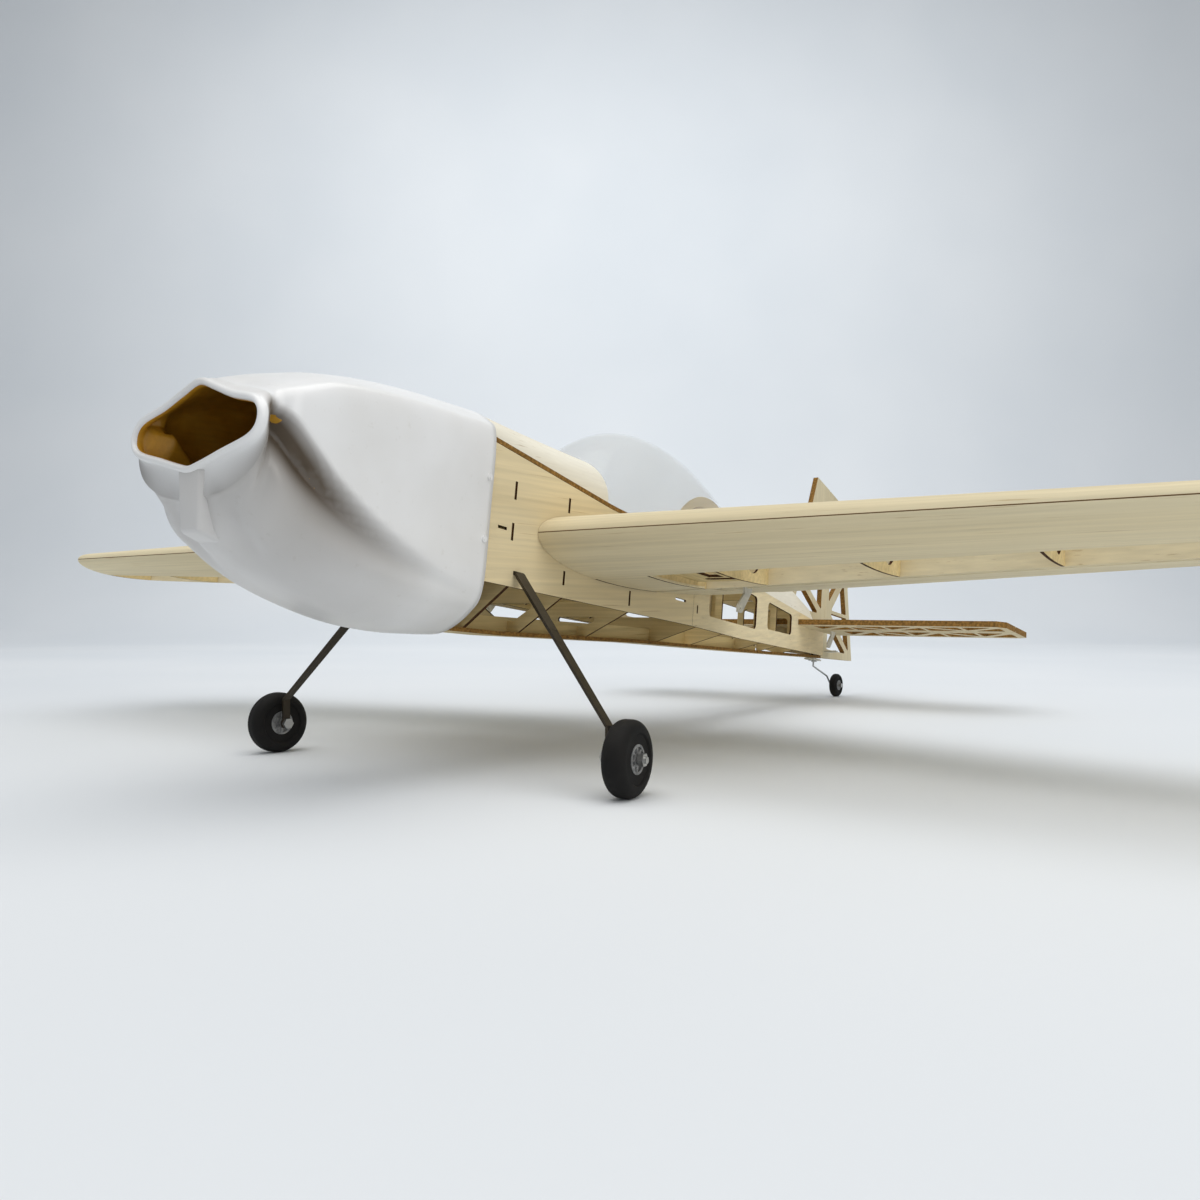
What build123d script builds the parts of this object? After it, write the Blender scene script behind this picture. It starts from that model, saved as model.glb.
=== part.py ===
"""Uncovered balsa and plywood aerobatic model aircraft on its wheels.

The airframe is drawn level, with x across, y from nose to tail and z up, and is then tilted about x
by the stance angle, so that it stands on its two main wheels and its tail wheel. +X is the left wing.
"""
from build123d import *
import os
from math import cos, hypot, pi, radians, sin, sqrt, tan

os.makedirs("parts", exist_ok=True)

# ---------------------------------------------------------------- driving dimensions, mm and degrees
stance = 7.5                 # nose-up angle on the ground
wheel_track = 318.0
wheel_base = 700.0
main_wheel_d = 45.0
main_wheel_w = 15.0
tail_wheel_d = 28.0
tail_wheel_w = 9.0
tail_wheel_x = 5.0           # the tail wheel sits beside its wire
toe_out = 7.0

half_span = 565.0
root_chord = 290.0
tip_chord = 150.0
leading_edge_y = 33.0
chord_z = 166.0
thickness_ratio = 0.15
dbox_end = 0.24              # where the nose sheeting ends, as a share of the chord
rear_spar_at = 0.54          # front face of the rear spar, as a share of the chord
wing_sheet = 1.6
rib_sheet = 2.0
rib_bay = 102.5
aileron_start_x = 104.0

body_half = 49.5             # half width of the fuselage over its parallel part
tail_half = 7.0              # half width at the tail
taper_y = 250.0              # where the parallel part ends
tail_y = 640.0
front_y = -32.0
side_sheet = 2.0
ply = 3.0
fit_gap = 0.3                # between fixed pieces that only meet edge to edge
canopy_front_y = 113.0
canopy_top_y = 208.0
canopy_top_z = 287.0
canopy_rear_y = 337.0
deck_crown_z = 241.5
hatch_rail = 3.0
hatch_gap = 0.4
canopy_wall = 1.0

cowl_rim_y = -20.0
cowl_nose_y = -196.5
cowl_wall = 1.3

tail_span_half = 235.0
tail_sheet = 6.0
stab_front_y = 540.0
elevator_hinge_y = 598.0
elevator_rear_y = 652.0
rudder_hinge_y = 652.0
fin_top_z = 350.0

wing_tube_d = 10.0
wing_tube_half = 190.0
wing_tube_y = 118.0
dowel_d = 6.0
dowel_y = 240.0
axle_d = 4.0
leg_width_top = 8.0
leg_width_low = 5.5
leg_thick = 2.0
leg_exit_y = 15.5
leg_exit_z = 134.4
leg_knee_share = 0.4         # a slight bend, this far down the leg
leg_knee_bow = (6.5, -8.0, 0)
hinge_barrel_d = 3.0
hinge_pin_d = 1.2
run_gap = 0.05               # radial clearance of a turning fit

motor_circle_d = 44.0
motor_hole_d = 3.2
motor_plate_y = -70.0
motor_box_half = 27.0

aileron_throw = 25.0
elevator_throw = 28.0
rudder_throw = 30.0
hatch_lift = 120.0

nodes = {}                   # node name: shape, standing on its wheels


# ---------------------------------------------------------------- small tools
def box(x0, x1, y0, y1, z0, z1):
    size = (x1 - x0, y1 - y0, z1 - z0)
    return Pos((x0 + x1) / 2, (y0 + y1) / 2, (z0 + z1) / 2) * Box(*size)


def poly(*points):
    return Polygon(*points, align=None)


def slab_x(x0, x1, sketch):
    """Extrude a (y, z) sketch from x0 to x1."""
    plane = Plane((x0, 0, 0), x_dir=(0, 1, 0), z_dir=(1, 0, 0))
    return extrude(plane * sketch, amount=x1 - x0, dir=(1, 0, 0))


def slab_y(y0, y1, sketch):
    """Extrude an (x, z) sketch from y0 to y1."""
    plane = Plane((0, y0, 0), x_dir=(1, 0, 0), z_dir=(0, -1, 0))
    return extrude(plane * sketch, amount=y1 - y0, dir=(0, 1, 0))


def slab_z(z0, z1, sketch):
    """Extrude an (x, y) sketch from z0 to z1."""
    return extrude(Plane.XY.offset(z0) * sketch, amount=z1 - z0, dir=(0, 0, 1))


def rod(start, end, diameter):
    start, end = Vector(*start), Vector(*end)
    axis = end - start
    return extrude(Plane(start, z_dir=axis) * Circle(diameter / 2), amount=axis.length)


def wire(points, diameter):
    """A bent wire: straight runs with round elbows."""
    solid = rod(points[0], points[1], diameter)
    for before, after in zip(points[1:-1], points[2:]):
        solid += Pos(*before) * Sphere(diameter / 2)
        solid += rod(before, after, diameter)
    return solid


def between(y, table):
    """Value at y on a line drawn through (y, value) points."""
    for (y0, v0), (y1, v1) in zip(table, table[1:]):
        if y <= y1 or (y1, v1) == table[-1]:
            return v0 + (v1 - v0) * (y - y0) / (y1 - y0)


def mirrored(shape):
    return mirror(shape, about=Plane.YZ)


def group(*shapes):
    solids = []
    for shape in shapes:
        solids += list(shape.solids())
    return Compound(solids)


def both(shape):
    return group(shape, mirrored(shape))


def stand(shape):
    """Tilt a piece drawn level to where it is on the ground."""
    return Rot(-stance, 0, 0) * shape


def ground_point(x, y, z):
    """Where a point of the level airframe is on the ground."""
    c, s = cos(radians(stance)), sin(radians(stance))
    return (x, y * c + z * s, -y * s + z * c)


def level_point(x, y, z):
    """The level airframe's coordinates of a point on the ground."""
    c, s = cos(radians(stance)), sin(radians(stance))
    return (x, y * c - z * s, y * s + z * c)


def keep(name, shape, standing=False):
    nodes[name] = shape if standing else stand(shape)


# ---------------------------------------------------------------- fuselage lines
def half_width(y):
    if y <= taper_y:
        return body_half
    return body_half + (tail_half - body_half) * (y - taper_y) / (tail_y - taper_y)


seam_bend_y = 118.0


def seam_z(y):
    """Top edge of the side sheets."""
    return between(y, [(front_y, 217.3), (seam_bend_y, 200.7), (taper_y, 191.0), (tail_y, 172.5)])


def side_low_z(y):
    """Bottom edge of the side sheets."""
    return between(y, [(front_y, 124.5), (taper_y, 127.5), (365, 128.7), (tail_y, 137.0)])


def belly_z(y):
    """Underside of the belly strip."""
    return between(y, [(front_y, 92.5), (45, 96.0), (225, 109.5), (410, 120.0), (tail_y, 134.0)])


belly_strip_t = 3.0
belly_half_front = 15.0
belly_half_tail = 5.0
keel_top_over_belly = 14.0


def belly_half(y):
    share = (y - front_y) / (tail_y - front_y)
    return belly_half_front + (belly_half_tail - belly_half_front) * share


def turtle_crown_z(y):
    return between(y, [(canopy_rear_y, 264.0), (600, 189.0)])


# former places, with the tabs that each one shows through the side sheet
former_places = [6.0, 65.0, 150.0, 258.0]
tab_heights = {
    6.0: [(183.0, 195.0), (155.5, 167.0)],
    65.0: [(186.5, 197.0), (134.7, 144.5)],
    150.0: [(131.5, 143.0)],
    258.0: [(139.6, 146.4)],
}
rear_former_places = [320.0, 422.0, 472.0, 530.0]
tab_recess = 0.8
tab_slack = 0.15
windows = [(285.0, 406.0, 12.5, 9.0), (439.0, 517.0, 15.5, 7.5)]    # y from, y to, sill, header
stab_slot_y = (stab_front_y, elevator_hinge_y - tail_sheet / 2 - 0.4)


def rounded(sketch, radius):
    return fillet(sketch.vertices(), radius)


# ---------------------------------------------------------------- wing sections
def chord(x):
    share = (x - body_half) / (half_span - body_half)
    return root_chord + (tip_chord - root_chord) * share


def wing_y(x, share):
    return leading_edge_y + share * chord(x)


def half_thickness(share):
    """Half thickness of the symmetric section, as a share of the chord."""
    f = max(share, 0.0)
    curve = 0.2969 * sqrt(f) - 0.126 * f - 0.3516 * f**2 + 0.2843 * f**3 - 0.1015 * f**4
    return 5 * thickness_ratio * curve


def section_points(x, inset, end_share, count=12):
    """Points (y, z) from the top at end_share round the nose to the bottom, inset by a sheet."""
    shares = [end_share * (1 - cos(pi / 2 * k / count)) for k in range(count + 1)]
    c = chord(x)
    top = []
    for share in shares:
        step = 1e-4
        rise = half_thickness(share + step) - half_thickness(max(share - step, 0))
        run = share + step - max(share - step, 0)
        length = hypot(rise, run)
        y = leading_edge_y + share * c + inset * rise / length
        z = half_thickness(share) * c - inset * run / length
        top.append((y, max(z, 0.0)))
    top[0] = (leading_edge_y + inset, 0.0)
    upper = [(y, chord_z + z) for y, z in reversed(top)]
    lower = [(y, chord_z - z) for y, z in top[1:]]
    return upper + lower


def section_face(x, inset, end_share):
    """The wing's nose section on the plane at x, closed behind by a straight line."""
    points = [Vector(x, y, z) for y, z in section_points(x, inset, end_share)]
    edges = [Edge.make_spline(points), Edge.make_line(points[-1], points[0])]
    return Face(Wire(edges))


def wing_loft(inset, end_share, x0, x1):
    return loft([section_face(x0, inset, end_share), section_face(x1, inset, end_share)])


def span_strip(x0, x1, share, ahead, behind):
    """A tall upright prism along the wing, following a share of the chord."""
    outline = poly((x0, wing_y(x0, share) + ahead), (x1, wing_y(x1, share) + ahead),
                   (x1, wing_y(x1, share) + behind), (x0, wing_y(x0, share) + behind))
    return slab_z(chord_z - root_chord, chord_z + root_chord, outline)


wing_root_x = body_half + fit_gap
rear_spar_t = 5.0
main_spar_t = 3.0
spar_back_set = 2.0          # the sheeting runs this far past the main spar
hinge_set_back = 2.2         # hinge axis behind the rear spar
apex_set_back = 0.5          # aileron's front edge behind the rear spar
bevel = 32.0
trailing_t = 2.4
rib_places = [wing_root_x, 97.0] + [half_span - rib_sheet - rib_bay * k for k in (4, 3, 2, 1, 0)]


def hinge_y(x):
    return wing_y(x, rear_spar_at) + rear_spar_t + hinge_set_back


def hinge_plane(x):
    """A plane on the aileron's hinge axis: local x along the axis, local z up."""
    direction = (1, hinge_y(x + 1) - hinge_y(x), 0)
    return Plane((x, hinge_y(x), chord_z), x_dir=direction, z_dir=(0, 0, 1))


aileron_hinge_places = [aileron_start_x + 40, (aileron_start_x + half_span) / 2, half_span - 40]
hinge_width = 8.0
leaf_t = 1.0


def hinge_parts():
    """One hinge on the X axis: a barrel with its leaf forward, and stub pins at its ends."""
    barrel = rod((-hinge_width / 2, 0, 0), (hinge_width / 2, 0, 0), hinge_barrel_d)
    pin_half = hinge_width / 2 + 4
    pin = rod((-pin_half, 0, 0), (pin_half, 0, 0), hinge_pin_d)
    leaf = box(-hinge_width / 2, hinge_width / 2, -hinge_set_back - 4, 0, -leaf_t / 2, leaf_t / 2)
    return barrel + pin + leaf


def hinge_room():
    """What the moving surface gives up round one hinge: a notch and two pin holes."""
    notch_r = hinge_barrel_d / 2 + 0.8
    notch = rod((-hinge_width / 2 - 0.5, 0, 0), (hinge_width / 2 + 0.5, 0, 0), 2 * notch_r)
    notch += box(-hinge_width / 2 - 0.5, hinge_width / 2 + 0.5, -6, 0, -notch_r, notch_r)
    pin_half = hinge_width / 2 + 4.5
    return notch + rod((-pin_half, 0, 0), (pin_half, 0, 0), hinge_pin_d + 2 * run_gap)


# ---------------------------------------------------------------- wing
def build_wing():
    tip = half_span
    whole = wing_loft(0, 1.0, wing_root_x, tip)
    nose = wing_loft(0, dbox_end, wing_root_x, tip)
    nose_inside = wing_loft(wing_sheet, dbox_end + 0.05, wing_root_x - 1, tip + 1)
    shell = nose - nose_inside
    reach = root_chord
    upper = shell & box(0, tip + 1, 0, reach, chord_z + 0.05, chord_z + reach)
    lower = shell & box(0, tip + 1, 0, reach, chord_z - reach, chord_z - 0.05)

    back = -spar_back_set
    web = span_strip(wing_root_x, tip, dbox_end, back - main_spar_t, back)
    inside = wing_loft(wing_sheet + 0.02, dbox_end + 0.05, wing_root_x, tip)
    main_spar = web & inside
    rear_spar = whole & span_strip(wing_root_x, tip, rear_spar_at, 0, rear_spar_t)
    hinge_slots = [hinge_plane(x) * hinge_parts() for x in aileron_hinge_places]
    for slot in hinge_slots:
        rear_spar -= slot

    ribs = []
    tube = rod((0, wing_tube_y, chord_z), (wing_tube_half, wing_tube_y, chord_z), wing_tube_d)
    dowel = rod((0, dowel_y, chord_z), (body_half + 26, dowel_y, chord_z), dowel_d)
    for x in rib_places:
        ribs.append(build_rib(x, main_spar) - tube)
    root_end = aileron_start_x - 4
    shelf = build_root_panels(whole, wing_root_x, root_end)
    return upper, lower, main_spar, rear_spar, ribs, shelf, tube, dowel, hinge_slots, whole


def build_rib(x, main_spar):
    """A rib that fits inside the nose sheeting and reaches the surface behind it."""
    outer_x = x + rib_sheet
    c = chord(outer_x)
    nose_end = dbox_end + 0.02
    front = poly(*section_points(outer_x, wing_sheet + 0.05, nose_end))
    start = wing_y(x, dbox_end) + 0.05
    end = wing_y(outer_x, rear_spar_at) - 0.05
    shares = [dbox_end + (rear_spar_at - dbox_end) * k / 6 for k in range(7)]
    tops = [(wing_y(outer_x, s), half_thickness(s) * c) for s in shares]
    tops[0] = (start, tops[0][1])
    tops[-1] = (end, tops[-1][1])
    rear = poly(*[(y, chord_z + z) for y, z in tops], *[(y, chord_z - z) for y, z in reversed(tops)])
    outline = front + rear
    for share, size in ((0.13, 0.062), (0.33, 0.05), (0.44, 0.045)):
        hole = Pos(wing_y(outer_x, share), chord_z) * Circle(size * c)
        keep_clear = abs(wing_y(outer_x, share) - wing_tube_y) < size * c + wing_tube_d
        if not (keep_clear and x < wing_tube_half):
            outline -= hole
    return slab_x(x, outer_x, outline) - main_spar


def build_root_panels(whole, x0, x1):
    """Sheets above and below between the spars, and the solid trailing edge, beside the fuselage."""
    inner = wing_loft(wing_sheet, rear_spar_at + 0.05, x0 - 1, x1 + 1)
    start = span_strip(x0, x1, dbox_end, 0.05, 0.05 + (rear_spar_at - dbox_end) * chord(x1) - 4)
    sheets = (whole - inner) & start
    ribs_gap = [box(x - 0.02, x + rib_sheet + 0.02, 0, 400, 0, 400) for x in rib_places[:2]]
    for gap in ribs_gap:
        sheets -= gap
    tail_end = span_strip(x0, x1, rear_spar_at, rear_spar_t + 0.02, root_chord)
    block = whole & tail_end
    return group(sheets, block)


def aileron_section(x):
    """The aileron's section at x: a bevelled front edge, then the wing's own surfaces."""
    c = chord(x)
    axis = hinge_y(x)
    front = axis - hinge_set_back + apex_set_back
    start = (axis - leading_edge_y) / c
    depth = half_thickness(start) * c * tan(radians(bevel))
    shares = [start + depth / c, start + (1 - start) * 0.55, 1.0]
    surface = [(wing_y(x, s), max(half_thickness(s) * c, trailing_t / 2)) for s in shares]
    upper = [Vector(x, y, chord_z + z) for y, z in surface]
    lower = [Vector(x, y, chord_z - z) for y, z in reversed(surface)]
    return Face(Wire.make_polygon([Vector(x, front, chord_z)] + upper + lower, close=True))


horn_t = 1.6
horn_drop = 17.0
horn_hole_d = 1.8
horn_foot = 7.0
aileron_horn_x = aileron_start_x + 22
elevator_horn_x = 30.0


def horn_sketch():
    """Side view of a control horn: foot above z=0, arm below, its hole under the hinge axis."""
    outline = poly((4.5, horn_foot), (20, horn_foot), (18, -2), (3.5, -horn_drop - 3), (-3.5, -horn_drop - 3),
                   (-3.5, -horn_drop + 2), (6.5, -4))
    return outline - Pos(0, -horn_drop) * Circle(horn_hole_d / 2)


def build_aileron():
    x1 = half_span - 0.5
    panel = loft([aileron_section(aileron_start_x), aileron_section(x1)], ruled=True)
    for x in aileron_hinge_places:
        panel -= hinge_plane(x) * hinge_room()
    y = hinge_y(aileron_horn_x)
    surface = half_thickness((y + 12 - leading_edge_y) / chord(aileron_horn_x)) * chord(aileron_horn_x)
    sketch = Pos(y, chord_z - surface) * horn_sketch()
    horn = slab_x(aileron_horn_x, aileron_horn_x + horn_t, sketch)
    return panel - horn, horn


wing_upper, wing_lower, spar, back_spar, wing_ribs, root_panels, tube_l, dowel_l, hinges_l, _whole = build_wing()
aileron, aileron_horn = build_aileron()

plate_x = (97.0 + rib_sheet + 0.05, rib_places[2] - 0.05)
plate_y = (wing_y(plate_x[0], dbox_end) + 6, wing_y(plate_x[1], rear_spar_at) - 6)
plate_z = chord_z - half_thickness(rear_spar_at) * chord(plate_x[1]) + 2.5
servo_window = (23.5, 12.5)
plate_mid = ((plate_x[0] + plate_x[1]) / 2, (plate_y[0] + plate_y[1]) / 2)
plate_sketch = poly((plate_x[0], plate_y[0]), (plate_x[1], plate_y[0]), (plate_x[1], plate_y[1]),
                    (plate_x[0], plate_y[1]))
plate_sketch -= Pos(*plate_mid) * Rectangle(servo_window[1], servo_window[0])
for offset in (-19, 19):
    plate_sketch -= Pos(plate_mid[0], plate_mid[1] + offset) * SlotOverall(26, 7)
aileron_plate = slab_z(plate_z, plate_z + 2, plate_sketch)

# ---------------------------------------------------------------- fuselage side sheets
socket = rod((-body_half - 1, wing_tube_y, chord_z), (body_half + 1, wing_tube_y, chord_z), wing_tube_d)
dowel_hole = rod((-body_half - 1, dowel_y, chord_z), (body_half + 1, dowel_y, chord_z), dowel_d)
wing_screw_y = 155.0
wing_screw_d = 3.0
screw_hole = rod((-body_half - 1, wing_screw_y, chord_z), (body_half + 1, wing_screw_y, chord_z), wing_screw_d)


def side_front():
    ys = [front_y, taper_y]
    tops = [front_y, seam_bend_y, taper_y]
    outline = poly(*[(y, side_low_z(y)) for y in ys], *[(y, seam_z(y)) for y in reversed(tops)])
    sheet = slab_x(body_half - side_sheet, body_half, outline)
    for y, spans in tab_heights.items():
        for low, high in spans:
            if y < taper_y:
                sheet -= tab(y, low, high, tab_slack, side_sheet + 1)
    sheet -= box(40, 60, -8, 1, 161, 163)
    sheet -= box(40, 60, 220, 237, 146, 148)
    leg_room = leg_thick / 2 + 0.4
    half = leg_width_top / 2 + 0.4
    sheet -= box(40, 60, leg_exit_y - half, leg_exit_y + half, leg_exit_z - leg_room, leg_exit_z + leg_room)
    return sheet - socket - dowel_hole - screw_hole


def tab(y, low, high, slack, reach):
    """A former's tab at the side sheet, or with slack and full reach the slot for it."""
    x0 = half_width(y) - side_sheet - 1
    x1 = x0 + 1 + reach
    return box(x0, x1, y - slack, y + 2 + slack, low - slack, high + slack)


def side_rear_plane():
    along = (tail_half - body_half, tail_y - taper_y, 0)
    out = (tail_y - taper_y, body_half - tail_half, 0)
    return Plane((body_half, taper_y, 0), x_dir=along, z_dir=out)


def side_rear():
    stretch = hypot(body_half - tail_half, tail_y - taper_y) / (tail_y - taper_y)
    lay = lambda y, z: ((y - taper_y) * stretch, z)
    ys = [taper_y + 0.4, 365, tail_y]
    tops = [taper_y + 0.4, tail_y]
    outline = poly(*[lay(y, side_low_z(y)) for y in ys], *[lay(y, seam_z(y)) for y in reversed(tops)])
    for y0, y1, sill, header in windows:
        hole = poly(lay(y0, side_low_z(y0) + sill), lay(y1, side_low_z(y1) + sill),
                    lay(y1, seam_z(y1) - header), lay(y0, seam_z(y0) - header))
        outline -= rounded(hole, 5)
    plane = side_rear_plane()
    sheet = extrude(plane * outline, amount=side_sheet, dir=-plane.z_dir)
    sheet -= box(0, 60, *stab_slot_y, chord_z - tail_sheet / 2, chord_z + tail_sheet / 2)
    joiner = rod((0, elevator_hinge_y, chord_z), (60, elevator_hinge_y, chord_z), joiner_d + 2 * run_gap)
    y = former_places[3]
    for low, high in tab_heights[y]:
        sheet -= tab(y, low, high, tab_slack, side_sheet + 1)
    return sheet - joiner


joiner_d = 3.0
side_front_left = side_front()
side_rear_left = side_rear()

# ---------------------------------------------------------------- belly strip, keel and doublers
strip_front_y = cowl_rim_y + 0.4
strip_ys = [strip_front_y, 45, 225, 410, tail_y - 1]
strip_side = poly(*[(y, belly_z(y)) for y in strip_ys],
                  *[(y, belly_z(y) + belly_strip_t) for y in reversed(strip_ys)])
strip_plan = poly((belly_half(front_y), front_y), (belly_half(tail_y), tail_y - 1),
                  (-belly_half(tail_y), tail_y - 1), (-belly_half(front_y), front_y))
belly_strip = slab_x(-20, 20, strip_side) & slab_z(80, 150, strip_plan)

keel_t = 3.0
keel_ys = [strip_front_y, 45, 225, 410, 470]
keel_base = belly_strip_t + 0.01
keel = slab_x(-keel_t / 2, keel_t / 2, poly(
    *[(y, belly_z(y) + keel_base) for y in keel_ys],
    (470, belly_z(470) + keel_base + 4),
    *[(y, belly_z(y) + keel_top_over_belly) for y in reversed(keel_ys[:-1])]))

doubler_t = 2.0
doubler_hole_d = 9.0
doubler_hole_pitch = 13.0
doubler_ys = (22.0, taper_y - 4)
doubler_low = 128.0
doubler_high = 143.0


def side_doubler():
    outline = poly((doubler_ys[0], doubler_low), (doubler_ys[1], doubler_low),
                   (doubler_ys[1], doubler_high), (doubler_ys[0], doubler_high))
    y = doubler_ys[0] + 14
    while y < doubler_ys[1] - 8:
        blocked = [p for p in former_places if abs(y - p - 1) < doubler_hole_d / 2 + 4]
        if not blocked:
            outline -= Pos(y, (doubler_low + doubler_high) / 2) * Circle(doubler_hole_d / 2)
        y += doubler_hole_pitch
    x1 = body_half - side_sheet - 0.01
    return slab_x(x1 - doubler_t, x1, outline)


doubler = side_doubler()

# ---------------------------------------------------------------- formers
arm_width = 12.0
post_width = 7.0
former_t = 2.0
belly_top = belly_strip_t + 0.01


def former(y, top_z, closed, thick=former_t):
    """A former with its belly arms; open at the top under the hatch."""
    outer = half_width(y + thick)
    inner = outer - side_sheet - 0.3
    low = side_low_z(y) - 0.02
    floor = belly_z(y + thick) + belly_top
    foot = belly_half(y) - 1
    half = [(0, floor), (foot, floor), (outer - 0.5, low), (inner, low), (inner, top_z), (0, top_z)]
    outline = poly(*half, *[(-x, z) for x, z in reversed(half[1:-1])])
    bar = low + 8
    ceiling = top_z - 8 if closed else top_z + 5
    wide = max(inner - post_width, 4)
    if ceiling - bar > 12 and wide > 8:
        hole = poly((-wide, bar), (wide, bar), (wide, ceiling), (-wide, ceiling))
        outline -= rounded(hole, 4)
    belly = low - floor
    if belly > 16:
        arch = poly((-outer + 22, low - 4), (outer - 22, low - 4), (7, floor + 8), (-7, floor + 8))
        outline -= rounded(arch, 2)
    return slab_y(y, y + thick, outline)


def formers():
    made = []
    for y in former_places[1:]:
        plate = former(y, seam_z(y) - 2, closed=False)
        for low, high in tab_heights[y]:
            lug = tab(y, low, high, 0, side_sheet - tab_recess)
            lug += box(half_width(y) - 8, half_width(y) - side_sheet, y, y + 2, low, high)
            plate += lug + mirrored(lug)
        made.append(plate)
    for y in rear_former_places:
        made.append(former(y, seam_z(y + former_t) - 1, closed=True))
    return made


nose_ring_t = 3.0
nose_ring_y = front_y
crown_rise = 29.0


def deck_edge(y, width, base, crown):
    """Half-ellipse (x, z) outline standing on a base line, as a face on the plane at y."""
    rise = crown - base
    left, right = Vector(-width, y, base), Vector(width, y, base)
    lean = [(cos(a), sin(a)) for a in [pi * k / 10 for k in range(11)]]
    points = [Vector(width * cx, y, base + rise * sz) for cx, sz in lean]
    points[0], points[-1] = right, left
    return Face(Wire([Edge.make_spline(points), Edge.make_line(left, right)]))


def nose_ring():
    """The full-height ring just inside the cowl's rim."""
    y = nose_ring_y
    ring = former(y, seam_z(y), closed=False, thick=nose_ring_t)
    arch = deck_edge(y, body_half - 0.6, seam_z(y), deck_crown_z - 3.5)
    hole = deck_edge(y, body_half - 9, seam_z(y) - 0.01, deck_crown_z - 11)
    cap = extrude(arch, amount=nose_ring_t, dir=(0, 1, 0)) - extrude(hole, amount=nose_ring_t, dir=(0, 1, 0))
    lugs = box(40.5, body_half - side_sheet - 0.3, y, y + nose_ring_t, seam_z(y) - 6, seam_z(y) + 0.5)
    return ring + cap + lugs + mirrored(lugs)


peg_d = 4.0
peg_x = 30.0
ledge_depth = 10.0
front_ledge_y = former_places[0] + ply + 0.02
rear_ledge_y = 322.2


def ledge(y, depth, with_holes):
    """A cross member just under the hatch, from side sheet to side sheet."""
    half = half_width(y + depth) - side_sheet - 0.4
    top = seam_z(y + depth) - 0.3
    bar = box(-half, half, y, y + depth, top - 4, top)
    if with_holes:
        for side in (-1, 1):
            bar -= Pos(side * peg_x, y + depth / 2, top - 2) * Cylinder(peg_d / 2 + run_gap, 10)
    return bar


front_ledge = ledge(front_ledge_y, ledge_depth, True)
rear_ledge = ledge(rear_ledge_y, 8.0, False)
tail_block_y = 622.0
tail_block = box(-4.2, 4.2, tail_block_y, tail_y - 0.2, belly_z(tail_y) + 3.5, chord_z - 8)

firewall = former(former_places[0], seam_z(former_places[0]) - 2, closed=True, thick=ply)
firewall_face = box(-34, 34, former_places[0], former_places[0] + ply, 140, 205)
firewall += firewall_face - Pos(0, former_places[0], 178) * Rot(90, 0, 0) * Cylinder(16, 20)
for low, high in tab_heights[former_places[0]]:
    ear = box(half_width(0) - 12, half_width(0) - tab_recess, former_places[0], former_places[0] + 2, low, high)
    firewall += ear + mirrored(ear)

keel_slot = slab_x(-keel_t / 2 - 0.01, keel_t / 2 + 0.01, poly(
    *[(y, belly_z(y)) for y in (front_y, 45, 225, 410, 480)],
    *[(y, belly_z(y) + keel_top_over_belly + 0.02) for y in (480, 410, 225, 45, front_y)]))
former_set = [piece - keel_slot - both(doubler) for piece in formers() + [nose_ring()]]
firewall = firewall - keel_slot - both(doubler)

# ---------------------------------------------------------------- inside the fuselage
tray_z = 150.0
tray_half = 36.0
tray_ys = (former_places[0] + ply + 0.02, former_places[2] - 0.02)
tray_plan = poly((-tray_half, tray_ys[0]), (tray_half, tray_ys[0]), (tray_half, tray_ys[1]),
                 (-tray_half, tray_ys[1]))
for row in range(4):
    for column in (-1, 1):
        tray_plan -= Pos(column * 15, tray_ys[0] + 28 + row * 26) * SlotOverall(20, 6)
battery_tray = slab_z(tray_z, tray_z + ply, tray_plan)
tray_step = box(-tray_half - 0.05, tray_half + 0.05, tray_ys[0] - 1, tray_ys[1] + 1, tray_z - 0.02, tray_z + ply + 0.02)
former_set = [piece - tray_step for piece in former_set]

servo_tray_z = 158.0
servo_ys = (former_places[2] + former_t + 0.02, former_places[3] - 0.02)
servo_half = half_width(servo_ys[1]) - side_sheet - 0.3
servo_plan = poly((-servo_half, servo_ys[0]), (servo_half, servo_ys[0]), (servo_half, servo_ys[1]),
                  (-servo_half, servo_ys[1]))
for side in (-1, 1):
    servo_plan -= Pos(side * 22, (servo_ys[0] + servo_ys[1]) / 2) * Rectangle(servo_window[1], servo_window[0])
servo_plan -= Pos(0, servo_ys[0] + 22) * SlotOverall(50, 12)
servo_tray = slab_z(servo_tray_z, servo_tray_z + ply, servo_plan) - dowel_hole

gear_plate_z = leg_exit_z + leg_thick / 2 + 0.01
gear_half = body_half - side_sheet - 0.3
gear_plate = box(-gear_half, gear_half, former_places[0] + ply + 0.02, doubler_ys[0] - 0.02, gear_plate_z,
                 gear_plate_z + ply)

motor_box_ys = (motor_plate_y + ply + 0.02, former_places[0] - 0.02)
box_z = 180.0
motor_box_walls = []
wall_holes = [motor_box_ys[0] + 18, motor_box_ys[0] + 38, motor_box_ys[0] + 58]
for side in (-1, 1):
    wall = slab_x(-1.5, 1.5, poly((motor_box_ys[0], box_z - motor_box_half), (motor_box_ys[1], box_z - motor_box_half),
                                  (motor_box_ys[1], box_z + motor_box_half), (motor_box_ys[0], box_z + motor_box_half)))
    for y in wall_holes:
        wall -= Pos(0, y, box_z) * Rot(0, 90, 0) * Cylinder(7, 10)
    motor_box_walls.append(Pos(side * (motor_box_half - 1.5), 0, 0) * wall)
    floor = box(-motor_box_half + 3.02, motor_box_half - 3.02, *motor_box_ys, -1.5, 1.5)
    for y in wall_holes:
        floor -= Pos(0, y, 0) * Cylinder(9, 10)
    motor_box_walls.append(Pos(0, 0, box_z + side * (motor_box_half - 1.5)) * floor)
motor_plate = box(-motor_box_half - 2, motor_box_half + 2, motor_plate_y, motor_plate_y + ply,
                  box_z - motor_box_half - 2, box_z + motor_box_half + 2)
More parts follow.
